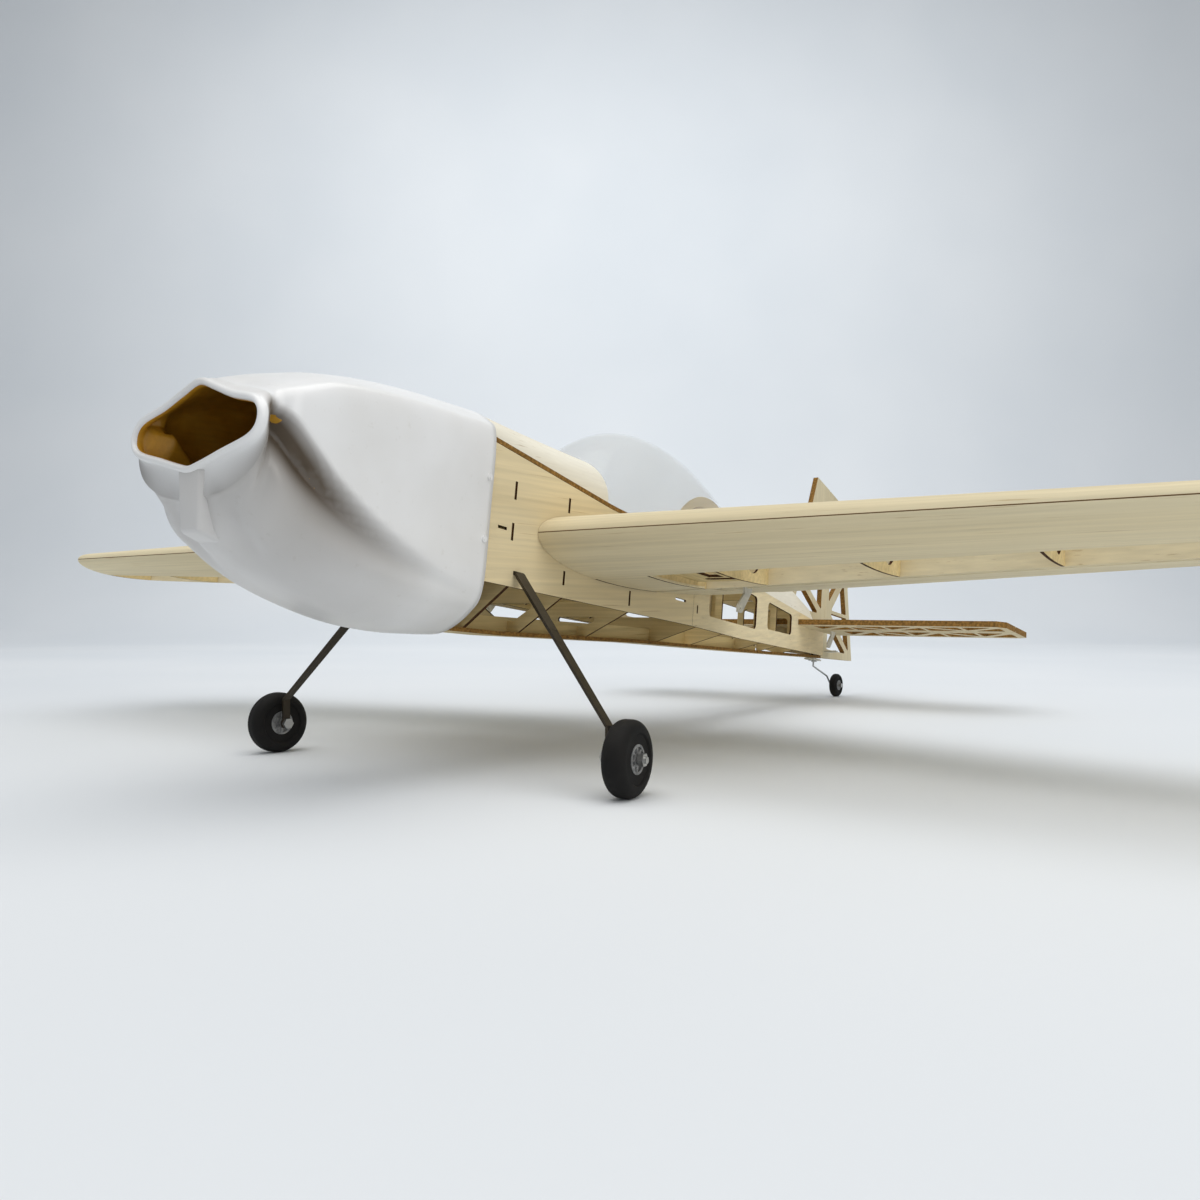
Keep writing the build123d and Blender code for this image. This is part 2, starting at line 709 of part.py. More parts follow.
motor_plate -= Pos(0, motor_plate_y, box_z) * Rot(90, 0, 0) * Cylinder(7, 20)
for k in range(4):
    angle = radians(45 + 90 * k)
    spot = Pos(motor_circle_d / 2 * cos(angle), motor_plate_y, box_z + motor_circle_d / 2 * sin(angle))
    motor_plate -= spot * Rot(90, 0, 0) * Cylinder(motor_hole_d / 2, 20)

# ---------------------------------------------------------------- cowl
# Each station: y, then crown z, shoulder z, half width, jowl z and keel z.
cowl_stations = [
    (-190, 207, 189.5, 58.6, 166, 142),
    (-182, 211, 193, 58.6, 157.5, 123),
    (-168, 217, 198, 59.2, 146, 113),
    (-150, 222.5, 204, 60.0, 135, 104.5),
    (-120, 230, 208, 60.0, 126, 95.5),
    (-85, 236, 211, 58.6, 121, 89.0),
    (-50, 240, 213.5, 55.8, 119.5, 87.5),
    (cowl_rim_y, 242.5, 217.2, 53.2, 120, 89.5),
]
mouth_half = [(0, 202), (14, 197.5), (30, 191.5), (50, 186), (55, 178.5), (50, 171), (28, 165), (11, 160.5),
              (0, 158.5)]
lip_steps = [(-1.0, 1.0), (-0.4, 2.8), (1.0, 4.0), (3.0, 4.4)]    # y behind the nose plane, growth
cowl_slices = 15
cowl_full_y = -155.0         # the crown is fully rounded from here back


def eased(y, table):
    """Smooth value at y through the (y, value) points: cubic pieces with shared slopes."""
    ys = [row[0] for row in table]
    vs = [row[1] for row in table]
    last = len(ys) - 1
    k = 0
    while k < last - 1 and y > ys[k + 1]:
        k += 1

    def slope(i):
        a, b = max(i - 1, 0), min(i + 1, last)
        return (vs[b] - vs[a]) / (ys[b] - ys[a])

    width = ys[k + 1] - ys[k]
    t = (y - ys[k]) / width
    rise = vs[k] * (2 * t**3 - 3 * t**2 + 1) + vs[k + 1] * (3 * t**2 - 2 * t**3)
    return rise + width * (slope(k) * (t**3 - 2 * t**2 + t) + slope(k + 1) * (t**3 - t**2))


def cowl_half(y):
    """Nine (x, z) points down one side of a cowl section."""
    sizes = [eased(y, [(row[0], row[k]) for row in cowl_stations]) for k in range(1, 6)]
    crown, shoulder, width, jowl, keel_z = sizes
    peak = max(0.0, min(1.0, (cowl_full_y - y) / (cowl_full_y - cowl_stations[0][0])))
    high, near = 0.14 + 0.28 * peak, 0.50 - 0.20 * peak
    return [(0, crown), (0.48 * width, crown - high * (crown - shoulder)),
            (0.83 * width, shoulder + near * (crown - shoulder)), (0.985 * width, shoulder),
            (width, (shoulder + jowl) / 2), (0.985 * width, jowl),
            (0.81 * width, jowl + 0.53 * (keel_z - jowl)), (0.43 * width, keel_z + 0.07 * (jowl - keel_z)),
            (0, keel_z)]


def grown(points, amount):
    """Push a half outline outwards along its own normals."""
    moved = []
    for k, (x, z) in enumerate(points):
        before = points[k - 1] if k else (-points[1][0], points[1][1])
        after = points[k + 1] if k < len(points) - 1 else (-points[-2][0], points[-2][1])
        dx, dz = after[0] - before[0], after[1] - before[1]
        length = hypot(dx, dz)
        moved.append((max(x - amount * dz / length, 0) if x else 0, z + amount * dx / length))
    return moved


def cowl_face(y, half):
    ring = [Vector(x, y, z) for x, z in half] + [Vector(-x, y, z) for x, z in reversed(half[1:-1])]
    return Face(Wire(Edge.make_spline(ring, periodic=True)))


def build_cowl():
    outer = [cowl_face(cowl_nose_y + step, grown(mouth_half, growth)) for step, growth in lip_steps]
    inner = [cowl_face(cowl_nose_y - 1.5, mouth_half), cowl_face(cowl_nose_y + 1.5, mouth_half)]
    first_y = cowl_stations[0][0]
    for k in range(cowl_slices + 1):
        y = first_y + (cowl_rim_y - first_y) * (k / cowl_slices) ** 1.3
        half = cowl_half(y)
        outer.append(cowl_face(y, half))
        inner.append(cowl_face(y + (0.5 if k == cowl_slices else 0), grown(half, -cowl_wall)))
    return loft(outer, ruled=True) - loft(inner, ruled=True)


cowl = build_cowl()
cowl_screw_y = cowl_rim_y - 5.0
cowl_screw_z = (150.0, 190.0)
screw_inner_x = body_half + 0.02
cowl_screw_set = []
for z in cowl_screw_z:
    screw = rod((screw_inner_x, cowl_screw_y, z), (body_half + 6, cowl_screw_y, z), 2.0)
    screw += rod((53.6, cowl_screw_y, z), (55.1, cowl_screw_y, z), 4.2)
    cowl_screw_set.append(screw)
    cowl = cowl - screw - mirrored(screw)

# ---------------------------------------------------------------- hatch: rails, deck and canopy
hatch_front_y = cowl_rim_y + 1.5
rail_width = 6.0


def rail_z(y):
    return seam_z(y) + hatch_gap + hatch_rail


def canopy_base_y():
    return [canopy_front_y, 150, canopy_top_y, 262, 305, canopy_rear_y]


canopy_crowns = {canopy_front_y: deck_crown_z + 2, 150: 272, canopy_top_y: canopy_top_z, 262: 285, 305: 275.5,
                 canopy_rear_y: 265}


def hatch_rails():
    ys = [hatch_front_y, seam_bend_y, taper_y, canopy_rear_y]
    out = [(half_width(y), y) for y in ys]
    inn = [(half_width(y) - rail_width, y) for y in (hatch_front_y + rail_width, taper_y, canopy_rear_y - rail_width)]
    plan = poly(*out, *[(-x, y) for x, y in reversed(out)])
    plan -= poly(*inn, *[(-x, y) for x, y in reversed(inn)])
    low = [(y, seam_z(y) + hatch_gap) for y in ys]
    high = [(y, rail_z(y)) for y in reversed(ys)]
    return slab_z(150, 260, plan) & slab_x(-60, 60, poly(*low, *high))


def arch_former(y, thick, width, base, crown, band):
    """An arch standing on the rails, with a lightening window."""
    outer = extrude(deck_edge(y, width, base, crown), amount=thick, dir=(0, 1, 0))
    inner = extrude(deck_edge(y, width - band, base + band * 0.8, crown - band), amount=thick, dir=(0, 1, 0))
    return outer - inner


deck_sheet = 2.0
deck_end_y = canopy_front_y - 0.1
deck_faces = []
deck_inner = []
for y in (hatch_front_y, deck_end_y):
    crown = deck_crown_z + (2 if y == deck_end_y else 0)
    deck_faces.append(deck_edge(y, half_width(y), rail_z(y) + 0.02, crown))
    step = -0.5 if y == hatch_front_y else 0.5
    deck_inner.append(deck_edge(y + step, half_width(y) - deck_sheet, rail_z(y) - 0.5, crown - deck_sheet))
hatch_deck = loft(deck_faces, ruled=True) - loft(deck_inner, ruled=True)

canopy_outer = []
canopy_inner = []
for y in canopy_base_y():
    crown = canopy_crowns[y]
    width = half_width(y)
    canopy_outer.append(deck_edge(y, width, rail_z(y) + 0.15, crown))
    canopy_inner.append(deck_edge(y, width - canopy_wall, rail_z(y) - 0.6, crown - canopy_wall))
canopy_skin = loft(canopy_outer)
canopy_void = loft(canopy_inner)
canopy = canopy_skin - canopy_void
canopy = canopy - box(-60, 60, canopy_rear_y - 0.01, canopy_rear_y + 5, 150, 300)

arch_gap = 0.15
hatch_arches = []
for y, thick in ((hatch_front_y + 0.5, 2.0), (50.0, 2.0), (deck_end_y - 3, 2.0)):
    crown = deck_crown_z + 2 * (y - hatch_front_y) / (deck_end_y - hatch_front_y) - deck_sheet - 0.6
    base = rail_z(y) + 0.01
    hatch_arches.append(arch_former(y, thick, half_width(y) - deck_sheet - 0.9, base, crown, 9))
rear_arch_y = canopy_rear_y - 2.6
hatch_arches.append(arch_former(rear_arch_y, 2.0, half_width(canopy_rear_y) - canopy_wall - 0.8,
                                rail_z(rear_arch_y) + 0.01, 263.2, 10))
rails = hatch_rails()

pegs = []
for side in (-1, 1):
    top = seam_z(front_ledge_y) + 1.6
    centre = (side * peg_x, front_ledge_y + ledge_depth / 2)
    pegs.append(rod((*centre, top - 8), (*centre, rail_z(centre[1]) + 2.5), peg_d))
peg_bar = box(-body_half + rail_width + 0.01, body_half - rail_width - 0.01, front_ledge_y, front_ledge_y + ledge_depth,
              seam_z(front_ledge_y) + 0.6, seam_z(front_ledge_y) + 3.6)
peg_bar_back = box(-half_width(rear_ledge_y + 8) + rail_width + 0.4, half_width(rear_ledge_y + 8) - rail_width - 0.4,
                   rear_ledge_y, rear_ledge_y + 8, seam_z(rear_ledge_y) + 0.6, seam_z(rear_ledge_y) + 3.6)
magnets = []
for side in (-1, 1):
    spot = (side * 14, rear_ledge_y + 4)
    magnets.append(rod((*spot, seam_z(rear_ledge_y) + 0.7), (*spot, seam_z(rear_ledge_y) + 3.7), 6))
for piece in pegs:
    peg_bar -= piece
for piece in magnets:
    peg_bar_back -= piece
hatch_pieces = [rails, peg_bar, peg_bar_back] + hatch_arches

# ---------------------------------------------------------------- turtle deck
turtle_ys = [345.0, 396.0, 447.0, 498.0, 540.0]
turtle_sheet_t = 1.6
turtle_upper_half = 12.0


def turtle_half(y):
    return half_width(y) - 0.5


def turtle_upper(y):
    share = (y - turtle_ys[0]) / (600 - turtle_ys[0])
    return turtle_upper_half * (1 - share) + 5.6 * share, turtle_crown_z(y) - 5 + 2 * share


def turtle_quad(y):
    x0, z0 = turtle_half(y), seam_z(y) + 0.3
    x1, z1 = turtle_upper(y)
    length = hypot(x1 - x0, z1 - z0)
    nx, nz = (z1 - z0) / length, -(x1 - x0) / length
    t = turtle_sheet_t
    corners = [(x0, z0), (x1, z1), (x1 - nx * t, z1 - nz * t), (x0 - nx * t, z0)]
    return Face(Wire.make_polygon([Vector(x, y, z) for x, z in corners], close=True))


turtle_panel = loft([turtle_quad(turtle_ys[0] - 4), turtle_quad(596)], ruled=True)
turtle_former_set = []
for k, y in enumerate(turtle_ys):
    base = seam_z(y + former_t) + 0.2
    x0 = turtle_half(y + former_t) - turtle_sheet_t * 1.7 - 0.6
    x1, z1 = turtle_upper(y + former_t)
    crown = turtle_crown_z(y + former_t) - 3.1
    half = [(0, base), (x0, base), (x1 - 1.2, z1 - 3.5), (x1 * 0.6, crown), (0, crown)]
    outline = poly(*half, *[(-x, z) for x, z in reversed(half[1:-1])])
    hole_half = [(x0 - 9, base + 6), (max(x1 - 4, 2), z1 - 12)]
    if x0 > 16 and z1 - base > 26:
        outline -= rounded(poly(*hole_half, *[(-x, z) for x, z in reversed(hole_half)]), 1.0)
    turtle_former_set.append(slab_y(y, y + former_t, outline))


def stringer(x_share, drop):
    """A stringer along the turtle deck's top, following the crown line."""
    y0, y1 = turtle_ys[0] - 4, turtle_ys[-1] + former_t
    x0, x1 = x_share * turtle_upper(y0)[0], x_share * turtle_upper(y1)[0]
    z0, z1 = turtle_crown_z(y0) - drop, turtle_crown_z(y1) - drop
    faces = []
    for x, y, z in ((x0, y0, z0), (x1, y1, z1)):
        corners = [Vector(x - 2, y, z - 3), Vector(x + 2, y, z - 3), Vector(x + 2, y, z), Vector(x - 2, y, z)]
        faces.append(Face(Wire.make_polygon(corners, close=True)))
    return loft(faces, ruled=True)


top_stringer = stringer(0, 0)

# ---------------------------------------------------------------- tail surfaces
stick = 8.0
rib_stick = 4.0
tail_rear_y = elevator_hinge_y - tail_sheet / 2 - 0.4
tip_front_y = stab_front_y + 7.0
tail_low, tail_high = chord_z - tail_sheet / 2, chord_z + tail_sheet / 2
centre_half = 26.0
hinge_axis_r = tail_sheet / 2


def truss(outline, bays, diagonals=True):
    """Cut the open bays of a stick-built surface: each bay is a four-cornered hole."""
    for corners in bays:
        outline -= rounded(poly(*corners), 1.5)
    return outline


def bay_pair(x0, x1, front, rear, flip):
    """Two triangular openings between two ribs, with a diagonal stick between them."""
    d = rib_stick / 2
    y0, y1 = front, rear
    if flip:
        return [[(x0, y0), (x1 - 3 * d, y0), (x0, y1 - 3 * d)], [(x1, y0 + 3 * d), (x1, y1), (x0 + 3 * d, y1)]]
    return [[(x0 + 3 * d, y0), (x1, y0), (x1, y1 - 3 * d)], [(x0, y0 + 3 * d), (x1 - 3 * d, y1), (x0, y1)]]


def surface_bays(x_start, x_end, front, rear, count):
    bays = []
    width = (x_end - x_start - rib_stick * (count - 1)) / count
    for k in range(count):
        x0 = x_start + k * (width + rib_stick)
        bays += bay_pair(x0, x0 + width, front, rear, k % 2 == 0)
    return bays


def surface_hinge(x):
    return Pos(x, elevator_hinge_y, chord_z)


elevator_hinges = [50.0, 125.0, 205.0]
stab_plan = poly((0, stab_front_y), (tail_span_half - 8, tip_front_y), (tail_span_half, tip_front_y + 10),
                 (tail_span_half, tail_rear_y), (0, tail_rear_y))
stab_plan = truss(stab_plan, surface_bays(centre_half + rib_stick, tail_span_half - stick, tip_front_y + stick,
                                          tail_rear_y - stick, 5))
stab_half = slab_z(tail_low, tail_high, stab_plan)
stabilizer = stab_half + mirrored(stab_half)

elevator_root_x = half_width(elevator_hinge_y) + 3.0
elevator_plan = poly((elevator_root_x, elevator_hinge_y), (tail_span_half, elevator_hinge_y),
                     (tail_span_half, elevator_rear_y - 6), (tail_span_half - 10, elevator_rear_y),
                     (elevator_root_x + 8, elevator_rear_y), (elevator_root_x, elevator_rear_y - 10))
elevator_plan = truss(elevator_plan, surface_bays(elevator_root_x + 2 * stick + 14, tail_span_half - stick,
                                                  elevator_hinge_y + stick, elevator_rear_y - stick, 5))
elevator_half = slab_z(tail_low, tail_high, elevator_plan)
elevator_half += rod((elevator_root_x, elevator_hinge_y, chord_z), (tail_span_half, elevator_hinge_y, chord_z), tail_sheet)
joiner = rod((-elevator_root_x - 1, elevator_hinge_y, chord_z), (elevator_root_x + 1, elevator_hinge_y, chord_z), joiner_d)
tail_hinge_set = []
for x in elevator_hinges:
    place = Pos(x, elevator_hinge_y, chord_z)
    elevator_half -= place * hinge_room()
    tail_hinge_set.append(place * hinge_parts())
elevator = elevator_half + mirrored(elevator_half) + joiner
tail_hinge_set += [mirrored(h) for h in tail_hinge_set]
for h in tail_hinge_set:
    stabilizer -= h
elevator_horn = slab_x(elevator_horn_x, elevator_horn_x + horn_t,
                       Pos(elevator_hinge_y, tail_low) * (horn_sketch() & Rectangle(60, 2 * 20 + 2 * tail_sheet)))
elevator_horn = elevator_horn & box(0, 60, 500, 700, tail_low - 30, tail_high + 0)
elevator -= elevator_horn

fin_base_z = tail_high + 0.02
fin_front_y = 552.0
fin_lean = 0.386
fin_rear_y = rudder_hinge_y - tail_sheet / 2 - 0.4
fin_drop = 0.2
post_width_y = fin_rear_y - tail_y
fin_tip_y = fin_front_y + fin_lean * (fin_top_z - 200)
rudder_top = fin_top_z - fin_drop * (rudder_hinge_y - fin_tip_y)
fin_foot_y = fin_front_y - fin_lean * (200 - fin_base_z)
fin_outline = poly((fin_foot_y + 3, fin_base_z), (fin_tip_y, fin_top_z),
                   (fin_rear_y, fin_top_z - fin_drop * (fin_rear_y - fin_tip_y)),
                   (fin_rear_y, belly_z(tail_y) + 0.5), (tail_y + 0.3, belly_z(tail_y) + 0.5),
                   (tail_y + 0.3, fin_base_z))
fin_left = tail_y - 2
low_z = fin_base_z + 18
levels = [low_z, low_z + 42, low_z + 88, low_z + 134]


def fin_front_at(z):
    return fin_front_y + fin_lean * (z - 200)


for z0, z1, flip in zip(levels, levels[1:], (True, False, True)):
    top = min(z1 - rib_stick, fin_top_z - 22)
    f0, f1 = fin_front_at(z0) + stick + 2, fin_front_at(top) + stick + 2
    if flip:
        fin_outline -= rounded(poly((f0, z0), (fin_left - 8, z0), (f1, top - 6)), 1.5)
        fin_outline -= rounded(poly((fin_left, z0 + 6), (fin_left, top), (f1 + 6, top)), 1.5)
    else:
        fin_outline -= rounded(poly((f0, z0 + 6), (fin_left - 8, top), (f1, top)), 1.5)
        fin_outline -= rounded(poly((f0 + 6, z0), (fin_left, z0), (fin_left, top - 6)), 1.5)
fin = slab_x(-tail_sheet / 2, tail_sheet / 2, fin_outline)

rudder_foot_z = belly_z(tail_y) + 1.0
rudder_rear = [(745.0, 140.0), (722.0, 226.0), (697.0, rudder_top - 10)]
rudder_outline = poly((rudder_hinge_y, rudder_foot_z), rudder_rear[0], rudder_rear[1], rudder_rear[2],
                      (rudder_hinge_y, rudder_top))


def rudder_rear_y(z):
    return between(z, [(rudder_rear[0][1], rudder_rear[0][0]), (rudder_rear[1][1], rudder_rear[1][0]),
                       (rudder_rear[2][1], rudder_rear[2][0])])


rudder_levels = [rudder_foot_z + 12 + k * 49 for k in range(5)]
rudder_levels[-1] = rudder_top - 22
for k, (z0, z1) in enumerate(zip(rudder_levels, rudder_levels[1:])):
    top = z1 - (rib_stick if k < 3 else 0)
    y0 = rudder_hinge_y + stick + 1
    r0, r1 = rudder_rear_y(z0) - stick - 3, rudder_rear_y(top) - stick - 3
    if k % 2 == 0:
        rudder_outline -= rounded(poly((y0, z0), (r0 - 9, z0), (y0, top - 9)), 1.5)
        rudder_outline -= rounded(poly((r0, z0 + 3), (r1, top), (y0 + 6, top)), 1.5)
    else:
        rudder_outline -= rounded(poly((y0, z0 + 9), (r1 - 9, top), (y0, top)), 1.5)
        rudder_outline -= rounded(poly((y0 + 9, z0), (r0, z0), (r1, top - 7)), 1.5)
rudder = slab_x(-tail_sheet / 2, tail_sheet / 2, rudder_outline)
rudder += rod((0, rudder_hinge_y, rudder_foot_z), (0, rudder_hinge_y, rudder_top), tail_sheet)
upright = Plane((0, 0, 0), x_dir=(0, 0, 1), z_dir=(1, 0, 0))
rudder_hinges = [160.0, 225.0, 300.0]
rudder_hinge_set = []
for z in rudder_hinges:
    place = Pos(0, rudder_hinge_y, z) * Rot(0, -90, 0)
    rudder -= place * hinge_room()
    rudder_hinge_set.append(place * hinge_parts())
for h in rudder_hinge_set:
    fin -= h
rudder_horn_z = rudder_foot_z + 8
rudder_horn = slab_z(rudder_horn_z, rudder_horn_z + horn_t,
                     poly((2.9, rudder_hinge_y + 3), (horn_drop + 3, rudder_hinge_y - 3.5),
                          (horn_drop + 3, rudder_hinge_y + 3.5), (2.9, rudder_hinge_y + 16))
                     - Pos(horn_drop, rudder_hinge_y) * Circle(horn_hole_d / 2))
rudder_horn += box(-2.9, 3, rudder_hinge_y + 5, rudder_hinge_y + 14, rudder_horn_z, rudder_horn_z + horn_t)
rudder -= rudder_horn

# ---------------------------------------------------------------- landing gear, drawn as it stands
wheel_r = main_wheel_d / 2
hub_d = 17.3
hub_w = main_wheel_w - 1.5
nut_across = 7.0
nut_t = 3.0
tab_x = -main_wheel_w / 2 - 0.6 - nut_t - leg_thick
knee_rise = 18.0


def tyre(diameter, width, inner_d, shoulder):
    """A tyre about the X axis: round shoulders, and a shallow step in each side wall."""
    r, w, bead = diameter / 2, width / 2, inner_d / 2
    step = bead + (r - bead) * 0.42
    outline = Polyline((bead, -w + 1.2), (step, -w + 1.2), (step + 0.8, -w), (r - shoulder, -w))
    outline += ThreePointArc((r - shoulder, -w), (r - shoulder * 0.3, -w + shoulder * 0.3), (r, -w + shoulder))
    outline += Polyline((r, -w + shoulder), (r, w - shoulder))
    outline += ThreePointArc((r, w - shoulder), (r - shoulder * 0.3, w - shoulder * 0.3), (r - shoulder, w))
    outline += Polyline((r - shoulder, w), (step + 0.8, w), (step, w - 1.2), (bead, w - 1.2), (bead, -w + 1.2))
    face = make_face(outline)
    return Rot(0, 90, 0) * revolve(Plane.XZ * face, Axis.Z)


def hub(diameter, width, bore):
    """A hub about the X axis, with a raised boss and eight shallow spokes' pockets."""
    body = rod((-width / 2, 0, 0), (width / 2, 0, 0), diameter - 0.02)
    for side in (-1, 1):
        face_x = side * width / 2
        ring = rod((face_x - side * 1.2, 0, 0), (face_x + side, 0, 0), diameter - 3)
        ring -= rod((face_x - side * 2, 0, 0), (face_x + side * 2, 0, 0), bore + 5)
        body -= ring
        for k in range(8):
            angle = pi / 4 * k
            y, z = cos(angle), sin(angle)
            r0, r1 = (bore + 4) / 2, diameter / 2 - 1
            spoke = rod((face_x - side * 0.9, y * r0, z * r0), (face_x - side * 0.9, y * r1, z * r1), 1.4)
            body += spoke
    return body - rod((-width, 0, 0), (width, 0, 0), bore + 2 * run_gap)


def hexagon(x0, x1, across):
    plane = Plane((x0, 0, 0), x_dir=(0, 1, 0), z_dir=(1, 0, 0))
    return extrude(plane * RegularPolygon(across / 2, 6, major_radius=False), amount=x1 - x0)


def wheel_place(side):
    turn = toe_out if side > 0 else 180 - toe_out
    return Pos(side * wheel_track / 2, 0, wheel_r) * Rot(0, 0, turn)


bolt = rod((tab_x - 0.02, 0, 0), (main_wheel_w / 2 + 5, 0, 0), axle_d) + hexagon(tab_x - 3, tab_x - 0.01, nut_across)
inner_nut = hexagon(tab_x + leg_thick + 0.01, tab_x + leg_thick + nut_t, nut_across)
inner_nut -= rod((tab_x, 0, 0), (0, 0, 0), axle_d)
outer_nut = hexagon(main_wheel_w / 2 + 0.4, main_wheel_w / 2 + 3.6, nut_across)
outer_nut -= rod((0, 0, 0), (main_wheel_w, 0, 0), axle_d)


def leg_run(top, foot, top_width, foot_width):
    """A straight run of flat strip, a little longer than its two end points."""
    along = (foot - top).normalized()
    across = (Vector(0, 1, 0) - along * along.Y).normalized()
    start, end = top - along * 0.4, foot + along * 0.8
    corners = [start - across * (top_width / 2), start + across * (top_width / 2),
               end + across * (foot_width / 2), end - across * (foot_width / 2)]
    face = Face(Wire.make_polygon(corners, close=True))
    return extrude(face, amount=leg_thick / 2, dir=along.cross(across), both=True)


def gear_leg():
    """The left leg: a flat strip out of the fuselage side, down to a drilled upright tab."""
    place = wheel_place(1)
    tab_end = slab_x(tab_x, tab_x + leg_thick,
                     Circle(leg_width_low / 2 + 1.2) + Pos(0, knee_rise / 2) * Rectangle(leg_width_low, knee_rise))
    tab_end -= rod((tab_x - 1, 0, 0), (0, 0, 0), axle_d)
    upright_tab = place * tab_end
    low = (place * Pos(tab_x + leg_thick / 2, 0, knee_rise)).position
    high = Vector(*ground_point(leg_bend_x, leg_exit_y, leg_exit_z))
    middle = high + (low - high) * leg_knee_share + Vector(*leg_knee_bow)
    width_mid = leg_width_top + (leg_width_low - leg_width_top) * leg_knee_share
    strip = leg_run(high, middle, leg_width_top, width_mid) + leg_run(middle, low, width_mid, leg_width_low)
    flat = stand(box(leg_inner_x, leg_bend_x + 0.6, leg_exit_y - leg_width_top / 2, leg_exit_y + leg_width_top / 2,
                     leg_exit_z - leg_thick / 2, leg_exit_z + leg_thick / 2))
    return upright_tab + strip + flat


leg_inner_x = 6.0
leg_bend_x = body_half + 1.4
leg_left = gear_leg()
leg_screw_x = (16.0, 36.0)
leg_screws = []
for x in leg_screw_x:
    shank = rod((x, leg_exit_y, leg_exit_z - leg_thick / 2), (x, leg_exit_y, gear_plate_z + ply), 2.5)
    head = rod((x, leg_exit_y, leg_exit_z - leg_thick / 2 - 2), (x, leg_exit_y, leg_exit_z - leg_thick / 2), 5)
    leg_screws.append(shank + head)
for screw in leg_screws:
    leg_left -= stand(screw)
    gear_plate = gear_plate - screw - mirrored(screw)
leg_stub = box(leg_inner_x - 1, body_half + 1, leg_exit_y - 5, leg_exit_y + 5, leg_exit_z - 3, gear_plate_z)
leg_right = mirrored(leg_left)

# tail wheel: a wire strut in a bracket under the tail
strut_d = 2.0
strut_y = 630.0
tail_axle = level_point(0, wheel_base, tail_wheel_d / 2)
strut_foot_z = belly_z(strut_y - 14) - 0.02
bracket_t = 1.5
bracket = box(-6, 6, strut_y - 14, strut_y + 9, strut_foot_z - bracket_t - 0.6, strut_foot_z - 0.6)
strut_top = (0, strut_y, strut_foot_z + 8)
strut_line = [strut_top, (0, strut_y, strut_foot_z - 9)]
strut_side = tail_wheel_x - tail_wheel_w / 2 - 2.5
strut_line += [(strut_side, tail_axle[1] - 14, tail_axle[2] + 10), (strut_side, tail_axle[1], tail_axle[2])]
tail_strut = wire(strut_line, strut_d)
tail_strut += rod((strut_side, tail_axle[1], tail_axle[2]), (tail_wheel_x + tail_wheel_w / 2 + 3, tail_axle[1], tail_axle[2]), strut_d)
collar_x = tail_wheel_x + tail_wheel_w / 2 + 0.5
collar = rod((collar_x, tail_axle[1], tail_axle[2]), (collar_x + 2.5, tail_axle[1], tail_axle[2]), 5)
pivot_hole = rod((0, strut_y, strut_foot_z - 5), (0, strut_y, strut_foot_z + 12), strut_d + 2 * run_gap)
thrust = rod((0, strut_y, strut_foot_z - bracket_t - 2.6), (0, strut_y, strut_foot_z - bracket_t - 0.7), 5)
tail_strut += thrust + collar
bracket -= pivot_hole
belly_strip -= pivot_hole
tail_block -= pivot_hole
screws = []
for dy in (-11, 6):
    shank = rod((0, strut_y + dy, strut_foot_z - bracket_t - 0.6), (0, strut_y + dy, strut_foot_z + 5), 1.6)
    head = rod((0, strut_y + dy, strut_foot_z - bracket_t - 2), (0, strut_y + dy, strut_foot_z - bracket_t - 0.6), 3.4)
    screws.append(shank + head)
for screw in screws:
    bracket -= screw
    belly_strip -= screw
    tail_block -= screw
spacer = box(-5, 5, strut_y - 13, strut_y + 8, strut_foot_z - 0.58, strut_foot_z - 0.02)

wing_tube = both(tube_l)
wing_tube = rod((-wing_tube_half, wing_tube_y, chord_z), (wing_tube_half, wing_tube_y, chord_z), wing_tube_d)
wing_tube -= rod((-wing_tube_half, wing_tube_y, chord_z), (wing_tube_half, wing_tube_y, chord_z), wing_tube_d - 2)
dowel_in = rod((body_half - 12, dowel_y, chord_z), (body_half + 26, dowel_y, chord_z), dowel_d)
wing_screw = rod((body_half - side_sheet - 0.01, wing_screw_y, chord_z), (body_half + 12, wing_screw_y, chord_z), wing_screw_d)
wing_screw += rod((body_half - side_sheet - 2.5, wing_screw_y, chord_z), (body_half - side_sheet - 0.02, wing_screw_y, chord_z), 6)
servo_tray = servo_tray - both(dowel_in) - both(wing_screw)
fittings = [dowel_in, wing_screw]
wing_ribs = [rib - dowel_in - wing_screw for rib in wing_ribs]
root_panels = root_panels - dowel_in
back_spar_clear = back_spar - dowel_in

# ---------------------------------------------------------------- nodes
keep("side_front_left", side_front_left)
keep("side_front_right", mirrored(side_front_left))
keep("side_rear_left", side_rear_left)
keep("side_rear_right", mirrored(side_rear_left))
keep("firewall", firewall)
keep("motor_box", group(*motor_box_walls, motor_plate))
keep("formers", group(*former_set, front_ledge, rear_ledge, tail_block))
keep("belly_strip", belly_strip)
keep("keel", keel)
keep("battery_tray", battery_tray)
keep("servo_tray", servo_tray)
keep("side_doublers", both(doubler))
keep("gear_plate", gear_plate)
keep("turtle_formers", group(*turtle_former_set, top_stringer))
keep("turtle_sheets", both(turtle_panel))
keep("cowl", cowl)
keep("cowl_screws", both(group(*cowl_screw_set)))
for side, name in ((1, "left"), (-1, "right")):
    turn = (lambda shape: shape) if side > 0 else mirrored
    keep(f"wing_upper_skin_{name}", turn(wing_upper))
    keep(f"wing_lower_skin_{name}", turn(wing_lower))
    keep(f"wing_spars_{name}", turn(group(spar, back_spar_clear)))
    keep(f"wing_ribs_{name}", turn(group(*wing_ribs)))
    keep(f"aileron_{name}", turn(aileron))
    keep(f"aileron_horn_{name}", turn(aileron_horn))
keep("wing_root_panels", both(root_panels))
keep("aileron_servo_plates", both(aileron_plate))
keep("wing_tube", wing_tube)
keep("wing_dowels", both(dowel_in))
